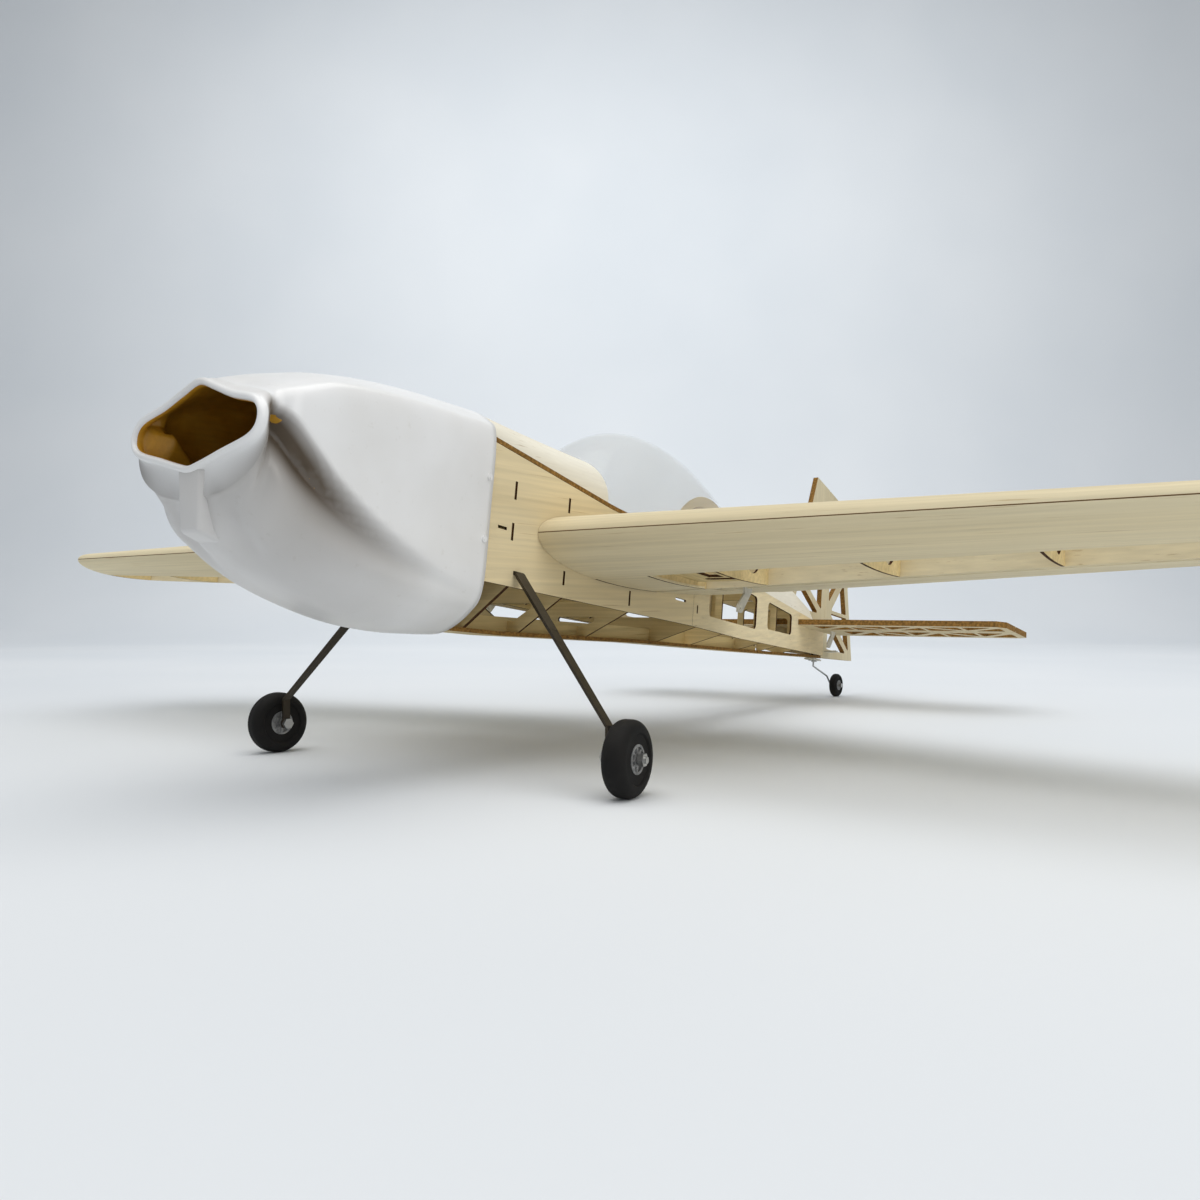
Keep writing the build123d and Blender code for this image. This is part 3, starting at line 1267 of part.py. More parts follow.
keep("wing_screws", both(wing_screw))
keep("aileron_hinges", both(group(*hinges_l)))
keep("stabilizer", stabilizer)
keep("fin", fin)
keep("tail_hinges", group(*tail_hinge_set, *rudder_hinge_set))
keep("tail_bracket", group(bracket, spacer - pivot_hole - screws[0] - screws[1]))
keep("tail_bracket_screws", group(*screws))
keep("hatch_frame", group(*hatch_pieces))
keep("hatch_deck", hatch_deck)
keep("canopy", canopy)
keep("hatch_pegs", group(*pegs))
keep("hatch_magnets", group(*magnets))
keep("elevator", elevator)
keep("elevator_horn", elevator_horn)
keep("rudder", rudder)
keep("rudder_horn", rudder_horn)
keep("gear_screws", both(group(*leg_screws)))
keep("tail_strut", tail_strut)
keep("gear_leg_left", leg_left, standing=True)
keep("gear_leg_right", leg_right, standing=True)
hardware = []
for side, name in ((1, "left"), (-1, "right")):
    place = wheel_place(side)
    keep(f"main_tyre_{name}", place * tyre(main_wheel_d, main_wheel_w, hub_d, 5.5), standing=True)
    keep(f"main_hub_{name}", place * hub(hub_d, hub_w, axle_d), standing=True)
    hardware += [place * bolt, place * inner_nut, place * outer_nut]
keep("axle_hardware", group(*hardware), standing=True)
tail_place = Pos(tail_wheel_x, wheel_base, tail_wheel_d / 2)
keep("tail_tyre", tail_place * tyre(tail_wheel_d, tail_wheel_w, 12.0, 3.5), standing=True)
keep("tail_hub", tail_place * hub(12.0, tail_wheel_w - 1, strut_d), standing=True)

boxes = [shape.bounding_box() for shape in nodes.values()]
mid_y = (min(b.min.Y for b in boxes) + max(b.max.Y for b in boxes)) / 2
floor_z = min(b.min.Z for b in boxes)
origin_shift = (0, -mid_y, -floor_z)
for name, shape in nodes.items():
    export_step(Pos(*origin_shift) * shape, f"parts/{name}.step")
print("nodes", len(nodes), "shift", origin_shift)
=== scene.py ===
from math import copysign, cos, exp, hypot, pi, radians, sin

import bmesh
import bpy
from mathutils import Matrix, Vector


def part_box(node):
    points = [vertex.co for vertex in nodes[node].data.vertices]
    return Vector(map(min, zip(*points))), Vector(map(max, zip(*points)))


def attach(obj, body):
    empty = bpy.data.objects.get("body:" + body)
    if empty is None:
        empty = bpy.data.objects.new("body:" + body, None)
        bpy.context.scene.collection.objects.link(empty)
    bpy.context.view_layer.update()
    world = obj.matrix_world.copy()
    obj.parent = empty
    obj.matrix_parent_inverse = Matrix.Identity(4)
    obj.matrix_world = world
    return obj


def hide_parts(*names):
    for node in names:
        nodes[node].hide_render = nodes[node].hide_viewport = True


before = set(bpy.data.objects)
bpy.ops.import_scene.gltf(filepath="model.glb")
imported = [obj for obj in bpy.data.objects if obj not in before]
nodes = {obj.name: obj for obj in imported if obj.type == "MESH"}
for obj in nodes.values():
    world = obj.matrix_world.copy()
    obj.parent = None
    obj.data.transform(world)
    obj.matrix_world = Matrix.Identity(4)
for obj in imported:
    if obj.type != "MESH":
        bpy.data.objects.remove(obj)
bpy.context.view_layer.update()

stance = radians(7.5)
hub_low, hub_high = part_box("main_hub_left")
axle_y = (hub_low.y + hub_high.y) / 2      # the main axle line, along the ground
mm = 0.001


def on_ground(x, y, z):
    """A point of the level airframe, in mm, as it stands, in metres."""
    c, s = cos(stance), sin(stance)
    return Vector((x * mm, (y * c + z * s) * mm + axle_y, (-y * s + z * c) * mm))


level_x = Vector((1, 0, 0))
level_y = Vector((0, cos(stance), -sin(stance)))
level_z = Vector((0, sin(stance), cos(stance)))


def rgb(red, green, blue):
    """A colour as it looks on a screen, 0 to 255, as Blender's linear values."""
    out = []
    for value in (red, green, blue):
        v = value / 255
        out.append(v / 12.92 if v <= 0.04045 else ((v + 0.055) / 1.055) ** 2.4)
    return (*out, 1.0)


# ---------------------------------------------------------------- materials
def new_material(name, roughness=0.5):
    mat = bpy.data.materials.new(name)
    mat.use_nodes = True
    shader = mat.node_tree.nodes["Principled BSDF"]
    shader.inputs["Roughness"].default_value = roughness
    return mat, mat.node_tree, shader


def noise(tree, scale, stretch, detail=4.0, turn=(0, 0, 0), distortion=0.0):
    """Noise over the object's own coordinates in metres, stretched by (x, y, z)."""
    coords = tree.nodes.new("ShaderNodeTexCoord")
    mapping = tree.nodes.new("ShaderNodeMapping")
    mapping.inputs["Rotation"].default_value = turn
    mapping.inputs["Scale"].default_value = stretch
    tex = tree.nodes.new("ShaderNodeTexNoise")
    tex.inputs["Scale"].default_value = scale
    tex.inputs["Detail"].default_value = detail
    tex.inputs["Distortion"].default_value = distortion
    tree.links.new(coords.outputs["Object"], mapping.inputs["Vector"])
    tree.links.new(mapping.outputs["Vector"], tex.inputs["Vector"])
    return tex.outputs["Fac"]


def ramp(tree, fac, stops):
    node = tree.nodes.new("ShaderNodeValToRGB")
    while len(node.color_ramp.elements) < len(stops):
        node.color_ramp.elements.new(0.5)
    for element, (place, colour) in zip(node.color_ramp.elements, stops):
        element.position = place
        element.color = colour
    tree.links.new(fac, node.inputs["Fac"])
    return node.outputs["Color"]


def mix(tree, fac, first, second, blend="MIX"):
    node = tree.nodes.new("ShaderNodeMix")
    node.data_type = "RGBA"
    node.blend_type = blend
    if isinstance(fac, float):
        node.inputs["Factor"].default_value = fac
    else:
        tree.links.new(fac, node.inputs["Factor"])
    for socket, value in ((node.inputs["A"], first), (node.inputs["B"], second)):
        if isinstance(value, tuple):
            socket.default_value = value
        else:
            tree.links.new(value, socket)
    return node.outputs["Result"]


def bump(tree, shader, height, strength, distance=0.0003):
    node = tree.nodes.new("ShaderNodeBump")
    node.inputs["Strength"].default_value = strength
    node.inputs["Distance"].default_value = distance
    tree.links.new(height, node.inputs["Height"])
    tree.links.new(node.outputs["Normal"], shader.inputs["Normal"])


along = {"x": (7, 330, 330), "y": (330, 7, 330), "z": (330, 330, 7)}
broad = {"x": (1.2, 26, 26), "y": (26, 1.2, 26), "z": (26, 26, 1.2)}


def shade(colour, factor):
    return tuple(min(c * factor, 1.0) for c in colour[:3]) + (1.0,)


def wood(name, colour, grain="y", contrast=0.14, roughness=0.72):
    """Bare sheet wood: long fine fibres, broad paler and darker boards, and short pores."""
    mat, tree, shader = new_material(name, roughness)
    turn = (stance, 0, 0)
    fibre = noise(tree, 1.0, along[grain], 5.0, turn, 0.15)
    board = noise(tree, 1.0, broad[grain], 2.0, turn)
    pores = noise(tree, 2.2, along[grain], 8.0, turn)
    tones = [(0.30, shade(colour, 1 - contrast)), (0.62, colour), (0.80, shade(colour, 1.06))]
    fine = ramp(tree, fibre, tones)
    wide = ramp(tree, board, [(0.30, (0.86, 0.83, 0.78, 1)), (0.70, (1.0, 1.0, 1.0, 1))])
    base = mix(tree, 1.0, fine, wide, "MULTIPLY")
    dots = ramp(tree, pores, [(0.26, (0.62, 0.52, 0.40, 1)), (0.36, (1, 1, 1, 1))])
    base = mix(tree, 0.7, base, dots, "MULTIPLY")
    tree.links.new(base, shader.inputs["Base Color"])
    bump(tree, shader, fibre, 0.35, 0.0002)
    shader.inputs["Specular IOR Level"].default_value = 0.25
    return mat


def burnt(name, colour):
    """A laser-cut edge: brown to near black, in short streaks across the sheet."""
    mat, tree, shader = new_material(name, 0.85)
    streak = noise(tree, 1.0, (420, 420, 420), 3.0)
    base = ramp(tree, streak, [(0.3, shade(colour, 0.45)), (0.6, colour), (0.85, shade(colour, 1.7))])
    tree.links.new(base, shader.inputs["Base Color"])
    shader.inputs["Specular IOR Level"].default_value = 0.15
    return mat


def seam_line(mat, height, half_width=0.00035):
    """A dark glue line where the level airframe is this high, in metres."""
    tree = mat.node_tree
    shader = tree.nodes["Principled BSDF"]
    place = tree.nodes.new("ShaderNodeNewGeometry")
    dot = tree.nodes.new("ShaderNodeVectorMath")
    dot.operation = "DOT_PRODUCT"
    dot.inputs[1].default_value = (0, sin(stance), cos(stance))
    near = tree.nodes.new("ShaderNodeMath")
    near.operation = "COMPARE"
    near.inputs[1].default_value = height + axle_y * sin(stance)
    near.inputs[2].default_value = half_width
    tree.links.new(place.outputs["Position"], dot.inputs[0])
    tree.links.new(dot.outputs["Value"], near.inputs[0])
    before = shader.inputs["Base Color"].links[0].from_socket
    tree.links.new(mix(tree, near.outputs["Value"], before, rgb(112, 84, 50)), shader.inputs["Base Color"])


balsa_side = wood("balsa_side", rgb(242, 225, 184), "y")
balsa_span = wood("balsa_span", rgb(234, 221, 186), "x", 0.12)
seam_line(balsa_span, 0.166)
balsa_pale = wood("balsa_pale", rgb(243, 238, 222), "y", 0.05)
balsa_tail = wood("balsa_tail", rgb(222, 208, 172), "x", 0.12)
balsa_fin = wood("balsa_fin", rgb(224, 212, 178), "z", 0.12)
balsa_belly = wood("balsa_belly", rgb(228, 210, 164), "y", 0.16)
light_ply = wood("light_ply", rgb(230, 208, 152), "y", 0.20)
ply_frame = wood("ply_frame", rgb(232, 210, 156), "x", 0.20)
hardwood = wood("hardwood", rgb(196, 160, 108), "x", 0.16, 0.5)
edge_dark = burnt("edge_dark", rgb(74, 46, 22))
edge_soft = burnt("edge_soft", rgb(150, 112, 58))


def make_gelcoat():
    """White gelcoat: a soft sheen, faint waviness, a hint of dust in the colour, and painted shade where the
    fold attribute is set.
    """
    mat, tree, shader = new_material("gelcoat_white", 0.34)
    cloud = noise(tree, 1.0, (14, 14, 14), 3.0)
    dust = noise(tree, 1.0, (240, 240, 240), 2.0)
    base = ramp(tree, cloud, [(0.3, rgb(232, 231, 229)), (0.7, rgb(243, 243, 243))])
    speck = ramp(tree, dust, [(0.22, (0.90, 0.89, 0.87, 1)), (0.34, (1, 1, 1, 1))])
    body = mix(tree, 0.5, base, speck, "MULTIPLY")
    fold = tree.nodes.new("ShaderNodeAttribute")
    fold.attribute_name = "fold"
    # painted shade: the fold attribute darkens the colour towards a dark brown in the cowl's fold and on the
    # chin
    painted_shade = mix(tree, fold.outputs["Fac"], body, rgb(104, 92, 78))
    tree.links.new(painted_shade, shader.inputs["Base Color"])
    bump(tree, shader, cloud, 0.12, 0.0015)
    shader.inputs["Coat Weight"].default_value = 0.25
    shader.inputs["Coat Roughness"].default_value = 0.25
    return mat


def make_resin():
    """The bare inside of the moulding: golden resin over glass cloth."""
    mat, tree, shader = new_material("resin_inside", 0.42)
    cloud = noise(tree, 1.0, (30, 30, 30), 6.0)
    fibre = noise(tree, 1.0, (500, 60, 500), 3.0)
    tones = [(0.25, rgb(156, 106, 20)), (0.55, rgb(200, 146, 38)), (0.8, rgb(222, 174, 66))]
    base = ramp(tree, cloud, tones)
    weave = ramp(tree, fibre, [(0.3, (0.82, 0.80, 0.74, 1)), (0.7, (1, 1, 1, 1))])
    tree.links.new(mix(tree, 0.6, base, weave, "MULTIPLY"), shader.inputs["Base Color"])
    bump(tree, shader, fibre, 0.4, 0.0004)
    return mat


def make_clear():
    """Clear thin sheet: almost invisible, with a grey tint and a soft gloss."""
    mat, tree, shader = new_material("canopy_clear", 0.16)
    haze = noise(tree, 1.0, (26, 26, 26), 3.0)
    base = ramp(tree, haze, [(0.3, rgb(222, 226, 227)), (0.7, rgb(236, 239, 240))])
    tree.links.new(base, shader.inputs["Base Color"])
    shader.inputs["Alpha"].default_value = 0.17
    shader.inputs["IOR"].default_value = 1.46
    return mat


def make_rubber():
    mat, tree, shader = new_material("tyre_foam", 0.78)
    grain = noise(tree, 1.0, (900, 900, 900), 4.0)
    wear = noise(tree, 1.0, (70, 70, 70), 3.0)
    base = ramp(tree, wear, [(0.3, rgb(9, 8, 7)), (0.7, rgb(22, 20, 18))])
    tree.links.new(base, shader.inputs["Base Color"])
    bump(tree, shader, grain, 0.5, 0.0002)
    shader.inputs["Specular IOR Level"].default_value = 0.3
    return mat


def make_hub():
    mat, tree, shader = new_material("hub_grey", 0.45)
    cloud = noise(tree, 1.0, (300, 300, 300), 3.0)
    base = ramp(tree, cloud, [(0.3, rgb(112, 112, 112)), (0.7, rgb(158, 158, 157))])
    tree.links.new(base, shader.inputs["Base Color"])
    shader.inputs["Metallic"].default_value = 0.5
    bump(tree, shader, cloud, 0.2, 0.0002)
    return mat


def make_metal(name, colour, roughness, metallic=1.0, streak=(900, 60, 900)):
    mat, tree, shader = new_material(name, roughness)
    lines = noise(tree, 1.0, streak, 3.0)
    base = ramp(tree, lines, [(0.3, shade(colour, 0.82)), (0.7, shade(colour, 1.08))])
    tree.links.new(base, shader.inputs["Base Color"])
    shader.inputs["Metallic"].default_value = metallic
    bump(tree, shader, lines, 0.15, 0.0001)
    return mat


gelcoat = make_gelcoat()
resin = make_resin()
clear = make_clear()
rubber = make_rubber()
hub_grey = make_hub()
steel = make_metal("steel_bright", rgb(188, 188, 186), 0.3)
leg_dark = make_metal("leg_dark", rgb(62, 54, 42), 0.42, 0.55, (600, 40, 30))
carbon = make_metal("carbon_tube", rgb(38, 38, 38), 0.4, 0.1, (300, 300, 300))
nylon = make_metal("nylon_pale", rgb(214, 210, 196), 0.5, 0.0, (200, 200, 200))


# ---------------------------------------------------------------- carried-over CAD nodes
def paint(name, mat):
    mesh = nodes[name].data
    mesh.materials.clear()
    mesh.materials.append(mat)
    for polygon in mesh.polygons:
        polygon.material_index = 0


def paint_sheet(names, face_mat, edge_mat, axis, limit=0.55):
    """Faces square to axis are the sheet; the rest are its cut edges."""
    for name in names:
        mesh = nodes[name].data
        mesh.materials.clear()
        mesh.materials.append(face_mat)
        mesh.materials.append(edge_mat)
        for polygon in mesh.polygons:
            polygon.material_index = 0 if abs(polygon.normal.dot(axis)) > limit else 1


def pair(*stems):
    return [f"{stem}_{side}" for stem in stems for side in ("left", "right")]


paint_sheet(pair("side_front", "side_rear"), balsa_side, edge_dark, level_x)
paint_sheet(["formers", "firewall"], ply_frame, edge_dark, level_y)
paint_sheet(["battery_tray", "servo_tray", "gear_plate"], light_ply, edge_dark, level_z)
paint_sheet(["keel", "side_doublers"], light_ply, edge_dark, level_x)
paint_sheet(["motor_box"], light_ply, edge_soft, level_x, 0.3)
paint_sheet(["hatch_frame"], ply_frame, edge_soft, level_y, 0.3)
paint_sheet(["turtle_formers"], ply_frame, edge_soft, level_y)
paint_sheet(["aileron_servo_plates"], light_ply, edge_dark, level_z)
paint_sheet(pair("wing_ribs"), ply_frame, edge_dark, level_x)
paint_sheet(["stabilizer", "elevator"], balsa_tail, edge_soft, level_z)
paint_sheet(["fin", "rudder"], balsa_fin, edge_soft, level_x)
paint_sheet(["belly_strip"], balsa_belly, edge_soft, level_z)
for name in ("hatch_deck", "turtle_sheets"):
    paint(name, balsa_pale)
for name in pair("wing_upper_skin"):
    paint(name, balsa_span)
for name in pair("wing_lower_skin", "wing_spars", "aileron") + ["wing_root_panels"]:
    paint(name, balsa_span)
for name in ("wing_dowels", "hatch_pegs"):
    paint(name, hardwood)
for name in ("wing_screws", "tail_bracket_screws", "gear_screws", "axle_hardware",
             "hatch_magnets", "tail_strut"):
    paint(name, steel)
for name in pair("aileron_horn") + ["elevator_horn", "rudder_horn", "aileron_hinges", "tail_hinges",
                                    "tail_bracket"]:
    paint(name, nylon)
for name in pair("gear_leg"):
    paint(name, leg_dark)
for name in pair("main_tyre") + ["tail_tyre"]:
    paint(name, rubber)
for name in pair("main_hub") + ["tail_hub"]:
    paint(name, hub_grey)
paint("wing_tube", carbon)
paint("canopy", clear)
paint("cowl", gelcoat)
paint("cowl_screws", gelcoat)


def face_outwards(obj):
    bm = bmesh.new()
    bm.from_mesh(obj.data)
    bmesh.ops.recalc_face_normals(bm, faces=bm.faces)
    bm.to_mesh(obj.data)
    bm.free()


def mesh_object(name, points, faces, mats, smooth=True):
    mesh = bpy.data.meshes.new(name)
    mesh.from_pydata([tuple(p) for p in points], [], faces)
    for mat in mats:
        mesh.materials.append(mat)
    obj = bpy.data.objects.new(name, mesh)
    bpy.context.scene.collection.objects.link(obj)
    for polygon in mesh.polygons:
        polygon.use_smooth = smooth
    return obj


# ---------------------------------------------------------------- cowl, as one smooth moulding
nose_y = -196.5
rim_y = -20.0
full_y = -155.0
lip_back_y = -192.5
skin_front_y = -191.5
cowl_slices = 46
points_per_span = 12
valley_y = -184              # the pinch all round, just behind the lip
valley_depth = 6.5
valley_reach = 11
valley_full_x = 40           # nearer the middle than this, the pinch is shallower
wall = 1.3
inner_slack = 0.5            # extra, so that the inner skin stays behind the fold's steep side
stations = [
    (-190, 207, 189.5, 58.6, 166, 142),
    (-182, 211, 193, 58.6, 157.5, 123),
    (-168, 217, 198, 59.2, 146, 113),
    (-150, 222.5, 204, 60.0, 135, 104.5),
    (-120, 230, 208, 60.0, 126, 95.5),
    (-85, 236, 211, 58.6, 121, 89.0),
    (-50, 240, 213.5, 55.8, 119.5, 87.5),
    (rim_y, 242.5, 217.2, 53.2, 120, 89.5),
]
mouth = [(0, 202), (14, 197.5), (30, 191.5), (50, 186), (55, 178.5), (50, 171), (28, 165), (11, 160.5),
         (0, 158.5)]


def eased(y, table):
    """Smooth value at y through the (y, value) points."""
    ys = [row[0] for row in table]
    vs = [row[1] for row in table]
    last = len(ys) - 1
    k = 0
    while k < last - 1 and y > ys[k + 1]:
        k += 1

    def slope(i):
        a, b = max(i - 1, 0), min(i + 1, last)
        return (vs[b] - vs[a]) / (ys[b] - ys[a])

    width = ys[k + 1] - ys[k]
    t = (y - ys[k]) / width
    rise = vs[k] * (2 * t**3 - 3 * t**2 + 1) + vs[k + 1] * (3 * t**2 - 2 * t**3)
    return rise + width * (slope(k) * (t**3 - 2 * t**2 + t) + slope(k + 1) * (t**3 - t**2))


def cowl_half(y):
    sizes = [eased(y, [(row[0], row[k]) for row in stations]) for k in range(1, 6)]
    crown, shoulder, width, jowl, keel_z = sizes
    peak = max(0.0, min(1.0, (full_y - y) / (full_y - stations[0][0])))
    high, near = 0.14 + 0.28 * peak, 0.50 - 0.20 * peak
    return [(0, crown), (0.48 * width, crown - high * (crown - shoulder)),
            (0.83 * width, shoulder + near * (crown - shoulder)), (0.985 * width, shoulder),
            (width, (shoulder + jowl) / 2), (0.985 * width, jowl),
            (0.81 * width, jowl + 0.53 * (keel_z - jowl)), (0.43 * width, keel_z + 0.07 * (jowl - keel_z)),
            (0, keel_z)]


def grown(points, amount):
    moved = []
    for k, (x, z) in enumerate(points):
        before = points[k - 1] if k else (-points[1][0], points[1][1])
        after = points[k + 1] if k < len(points) - 1 else (-points[-2][0], points[-2][1])
        dx, dz = after[0] - before[0], after[1] - before[1]
        length = hypot(dx, dz)
        moved.append((max(x - amount * dz / length, 0) if x else 0, z + amount * dx / length))
    return moved


def ring_points(half, per_span=7):
    """A closed smooth ring of (x, z) points through a half outline and its mirror image."""
    ring = list(half) + [(-x, z) for x, z in reversed(half[1:-1])]
    count = len(ring)
    out = []
    for k in range(count):
        p = [Vector(ring[(k + j) % count]) for j in (-1, 0, 1, 2)]
        for step in range(per_span):
            t = step / per_span
            point = p[1] * 2 + (p[2] - p[0]) * t
            point += (p[0] * 2 - p[1] * 5 + p[2] * 4 - p[3]) * t * t
            point += (-p[0] + p[1] * 3 - p[2] * 3 + p[3]) * t**3
            out.append(point * 0.5)
    return out


# The fold from the mouth's corner down to the jowl, and the pockets beside the chin rib, as (y, mm) points.
fold_front, fold_back = -192.0, -20.0
crease_line = [(fold_front, 190), (-182, 186), (-165, 172), (-145, 156), (-115, 140), (-80, 128), (-45, 121),
               (fold_back, 118)]
crease_depth = [(fold_front, 0.0), (-189.5, 1.8), (-182, 14.5), (-168, 17.0), (-145, 13.0), (-110, 7.5),
                (-75, 4.0), (-45, 1.6), (fold_back, 0.0)]
pocket_depth = [(fold_front, 0.0), (-189, 2.0), (-182, 8.0), (-172, 7.0), (-160, 3.0), (-145, 0.0),
                (fold_back, 0.0)]
crease_step = 7              # height over which the fold reaches its full depth
crease_fade = 24             # height over which it then fades out below
crease_full_x = 30           # nearer the middle than this, the fold is shallower
pocket_below = 12            # the pockets start this far below the crease
pocket_x = 21
pocket_half_width = 9
# How far and how strongly painted shade covers the fold, the chin and the chin rib.
painted_shade_rear_y = -60            # no painted fold shade behind this
painted_shade_length = 100
painted_chin_shade = 0.34             # share of the painted shade that covers the whole chin
painted_shade_strength = 0.9
painted_rib_shade = 0.3


def within_fold(y):
    return max(fold_front, min(fold_back, y))


def sculpted(point, y):
    """Press in the fold that runs from the mouth's corner down to the jowl, and the chin's two pockets."""
    x, z = point
    y = within_fold(y)
    below = eased(y, crease_line) - z
    if below > 0:
        step = min(below / crease_step, 1.0)
        step = step * step * (3 - 2 * step)
        fade = exp(-max(below - crease_step, 0) / crease_fade)
        pull = eased(y, crease_depth) * step * fade * min(abs(x) / crease_full_x, 1.0)
        x -= copysign(pull, x)
    if below > pocket_below:
        spread = exp(-((abs(x) - pocket_x) / pocket_half_width) ** 2)
        z += max(eased(y, pocket_depth), 0.0) * spread
    return Vector((x, z))


def painted_fold_shade(point, y):
    """How much painted shade the fold and chin get here, 0 to 1: most just under the fold's edge, near the
    mouth.
    """
    below = eased(within_fold(y), crease_line) - point.y
    rise = max(0.0, min(1.0, (below + 4) / 9))
    fade = exp(-max(below - 6, 0) / 22)
    front = max(0.0, min(1.0, (painted_shade_rear_y - y) / painted_shade_length))
    edge = rise * fade * min(abs(point.x) / 22, 1.0) * front
    return (edge + painted_chin_shade * rise * front) * painted_shade_strength


def inset(ring, amount):
    """A closed ring of (x, z) points moved inwards along its own normals."""
    middle = Vector((0, 160))
    moved = []
    for k, point in enumerate(ring):
        along_ring = ring[(k + 2) % len(ring)] - ring[k - 2]
        side = Vector((-along_ring.y, along_ring.x)).normalized()
        if side.dot(middle - point) < 0:
            side = -side
        moved.append(point + side * amount)
    return moved


def build_cowl():
    rows = []                              # (y, ring, inside)
    # The rolled lip: y behind the nose plane, and growth out of the mouth's own outline.
    lip = [(4.0, -0.2), (1.2, 0.0), (-0.6, 0.7), (-1.0, 1.7), (-0.7, 2.8), (0.2, 3.7), (1.6, 4.2), (3.2, 4.2)]
    for step, growth in lip:
        inside = step > 2 and growth < 1
        rows.append((nose_y + step, ring_points(grown(mouth, growth), points_per_span), inside))
    skin = []
    for k in range(cowl_slices + 1):
        y = skin_front_y + (rim_y - skin_front_y) * (k / cowl_slices) ** 1.25
        half = cowl_half(max(y, stations[0][0]))
        valley = valley_depth * max(0.0, 1 - abs((y - valley_y) / valley_reach)) ** 2
        half = [(x - valley * min(x / valley_full_x, 1.0), z) for x, z in half]
        skin.append((y, half))
    for y, half in skin:
        rows.append((y, [sculpted(p, y) for p in ring_points(half, points_per_span)], False))
    for y, half in reversed(skin[1:]):
        outer = [sculpted(p, y) for p in ring_points(half, points_per_span)]
        rows.append((y, inset(outer, wall + inner_slack), True))
    size = len(rows[0][1])
    points = [on_ground(p.x, y, p.y) for y, ring, inside in rows for p in ring]
    faces, kinds = [], []
    for r in range(len(rows)):
        nxt = (r + 1) % len(rows)
        for k in range(size):
            k2 = (k + 1) % size
            faces.append((r * size + k, r * size + k2, nxt * size + k2, nxt * size + k))
            kinds.append(1 if rows[r][2] or (nxt == 0) else 0)
    obj = mesh_object("cowl_moulding", points, faces, [gelcoat, resin])
    # The fold attribute is painted shade on the outer skin behind the lip; the inside and the lip get none.
    fold = obj.data.attributes.new("fold", "FLOAT", "POINT")
    for k, (y, ring, inside) in enumerate(rows):
        plain = inside or y < lip_back_y
        for j, p in enumerate(ring):
            fold.data[k * size + j].value = 0.0 if plain else painted_fold_shade(p, y)
    for polygon, kind in zip(obj.data.polygons, kinds):
        polygon.material_index = kind
    face_outwards(obj)
    return obj


cowl = build_cowl()
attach(cowl, "airframe")
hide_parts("cowl")


def build_ridge():
    """The flat-faced rib down the chin under the mouth."""
    front = [(-10.5, -196.0, 157), (10.5, -196.0, 157), (8.6, -191.5, 124), (-8.6, -191.5, 124)]
    back = [(-12.5, -183, 159), (12.5, -183, 159), (9.8, -174, 119), (-9.8, -174, 119)]
    points = [on_ground(*p) for p in front + back]
    faces = [(0, 1, 2, 3), (7, 6, 5, 4), (0, 4, 5, 1), (1, 5, 6, 2), (2, 6, 7, 3), (3, 7, 4, 0)]
    obj = mesh_object("cowl_chin_rib", points, faces, [gelcoat])
    # The whole chin rib gets an even painted shade through its fold attribute.
    fold = obj.data.attributes.new("fold", "FLOAT", "POINT")
    for item in fold.data:
        item.value = painted_rib_shade
    mod = obj.modifiers.new("round", "BEVEL")
    mod.width = 2.4 * mm
    mod.segments = 4
    face_outwards(obj)
    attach(obj, "airframe")


build_ridge()

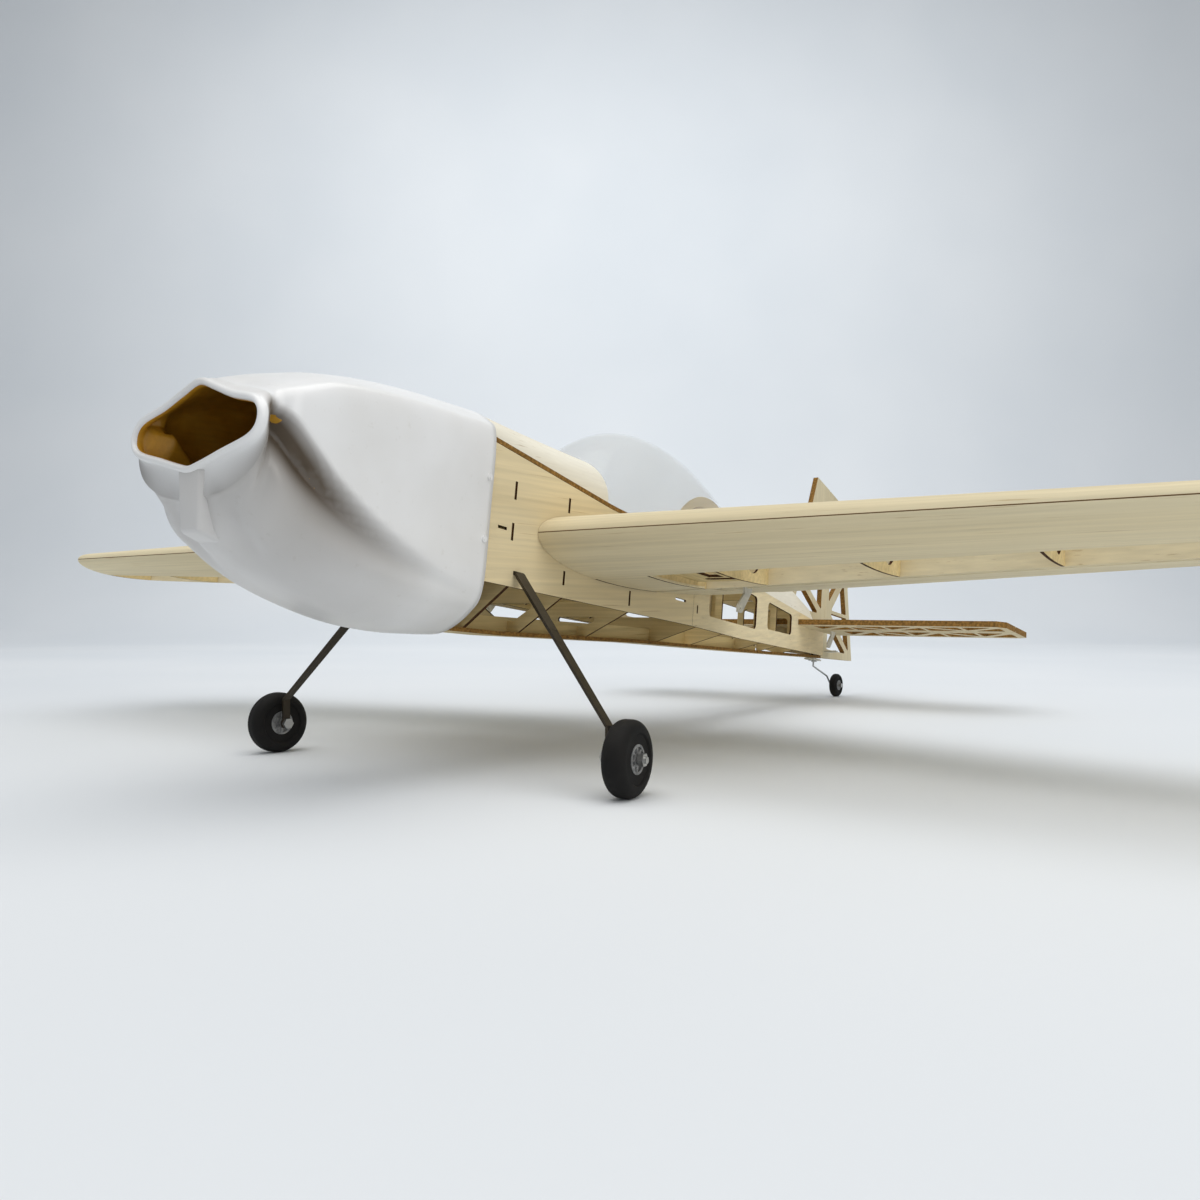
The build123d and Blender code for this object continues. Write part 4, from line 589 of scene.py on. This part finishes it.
# ---------------------------------------------------------------- floor, light and camera
def build_stage():
    """A floor that curves up into a backdrop behind the object."""
    profile = [(-4.0, 0.0), (2.2, 0.0)]
    for k in range(1, 13):
        angle = pi / 2 * k / 12
        profile.append((2.2 + 1.2 * sin(angle), 1.2 - 1.2 * cos(angle)))
    profile.append((3.4, 5.0))
    turn = Matrix.Rotation(radians(35), 3, "Z")
    points, faces = [], []
    for x in (-7.0, 7.0):
        points += [turn @ Vector((x, y, z)) for y, z in profile]
    n = len(profile)
    for k in range(n - 1):
        faces.append((k, n + k, n + k + 1, k + 1))
    obj = mesh_object("studio_floor", points, faces, [])
    mat, tree, shader = new_material("studio_paper", 0.9)
    cloud = noise(tree, 1.0, (1.5, 1.5, 1.5), 2.0)
    base = ramp(tree, cloud, [(0.3, rgb(224, 228, 232)), (0.7, rgb(230, 233, 236))])
    tree.links.new(base, shader.inputs["Base Color"])
    shader.inputs["Specular IOR Level"].default_value = 0.1
    obj.data.materials.append(mat)


build_stage()


def area_light(name, place, target, size, power, colour=(1, 1, 1)):
    data = bpy.data.lights.new(name, "AREA")
    data.shape = "RECTANGLE"
    data.size, data.size_y = size
    data.energy = power
    data.color = colour
    obj = bpy.data.objects.new(name, data)
    bpy.context.scene.collection.objects.link(obj)
    obj.location = place
    obj.rotation_euler = (Vector(target) - Vector(place)).to_track_quat("-Z", "Y").to_euler()
    return obj


area_light("key_overhead", (0.3, -0.3, 2.4), (0.1, -0.1, 0.1), (2.8, 2.8), 44, (1.0, 0.99, 0.97))
area_light("fill_right", (2.3, -0.6, 1.2), (0, -0.1, 0.15), (1.4, 1.2), 10, (1.0, 0.98, 0.95))
area_light("backdrop_wash", (-0.9, 1.2, 2.4), (-1.9, 2.9, 0.9), (3.4, 1.2), 30, (0.97, 0.99, 1.0))

world = bpy.data.worlds.new("soft_room")
bpy.context.scene.world = world
world.use_nodes = True
world.node_tree.nodes["Background"].inputs["Color"].default_value = (0.90, 0.93, 0.96, 1)
world.node_tree.nodes["Background"].inputs["Strength"].default_value = 0.44

camera_data = bpy.data.cameras.new("photo_view")
camera_data.sensor_width = 36.0
camera_data.lens = 29.41
camera_data.clip_start = 0.01
camera_data.clip_end = 60
camera = bpy.data.objects.new("photo_view", camera_data)
bpy.context.scene.collection.objects.link(camera)
camera.location = (0.4691, -0.4665 + axle_y, 0.1073)
camera.rotation_euler = (radians(90 + 0.588), 0, radians(35.22))
bpy.context.scene.camera = camera
bpy.context.scene.view_settings.view_transform = "Standard"
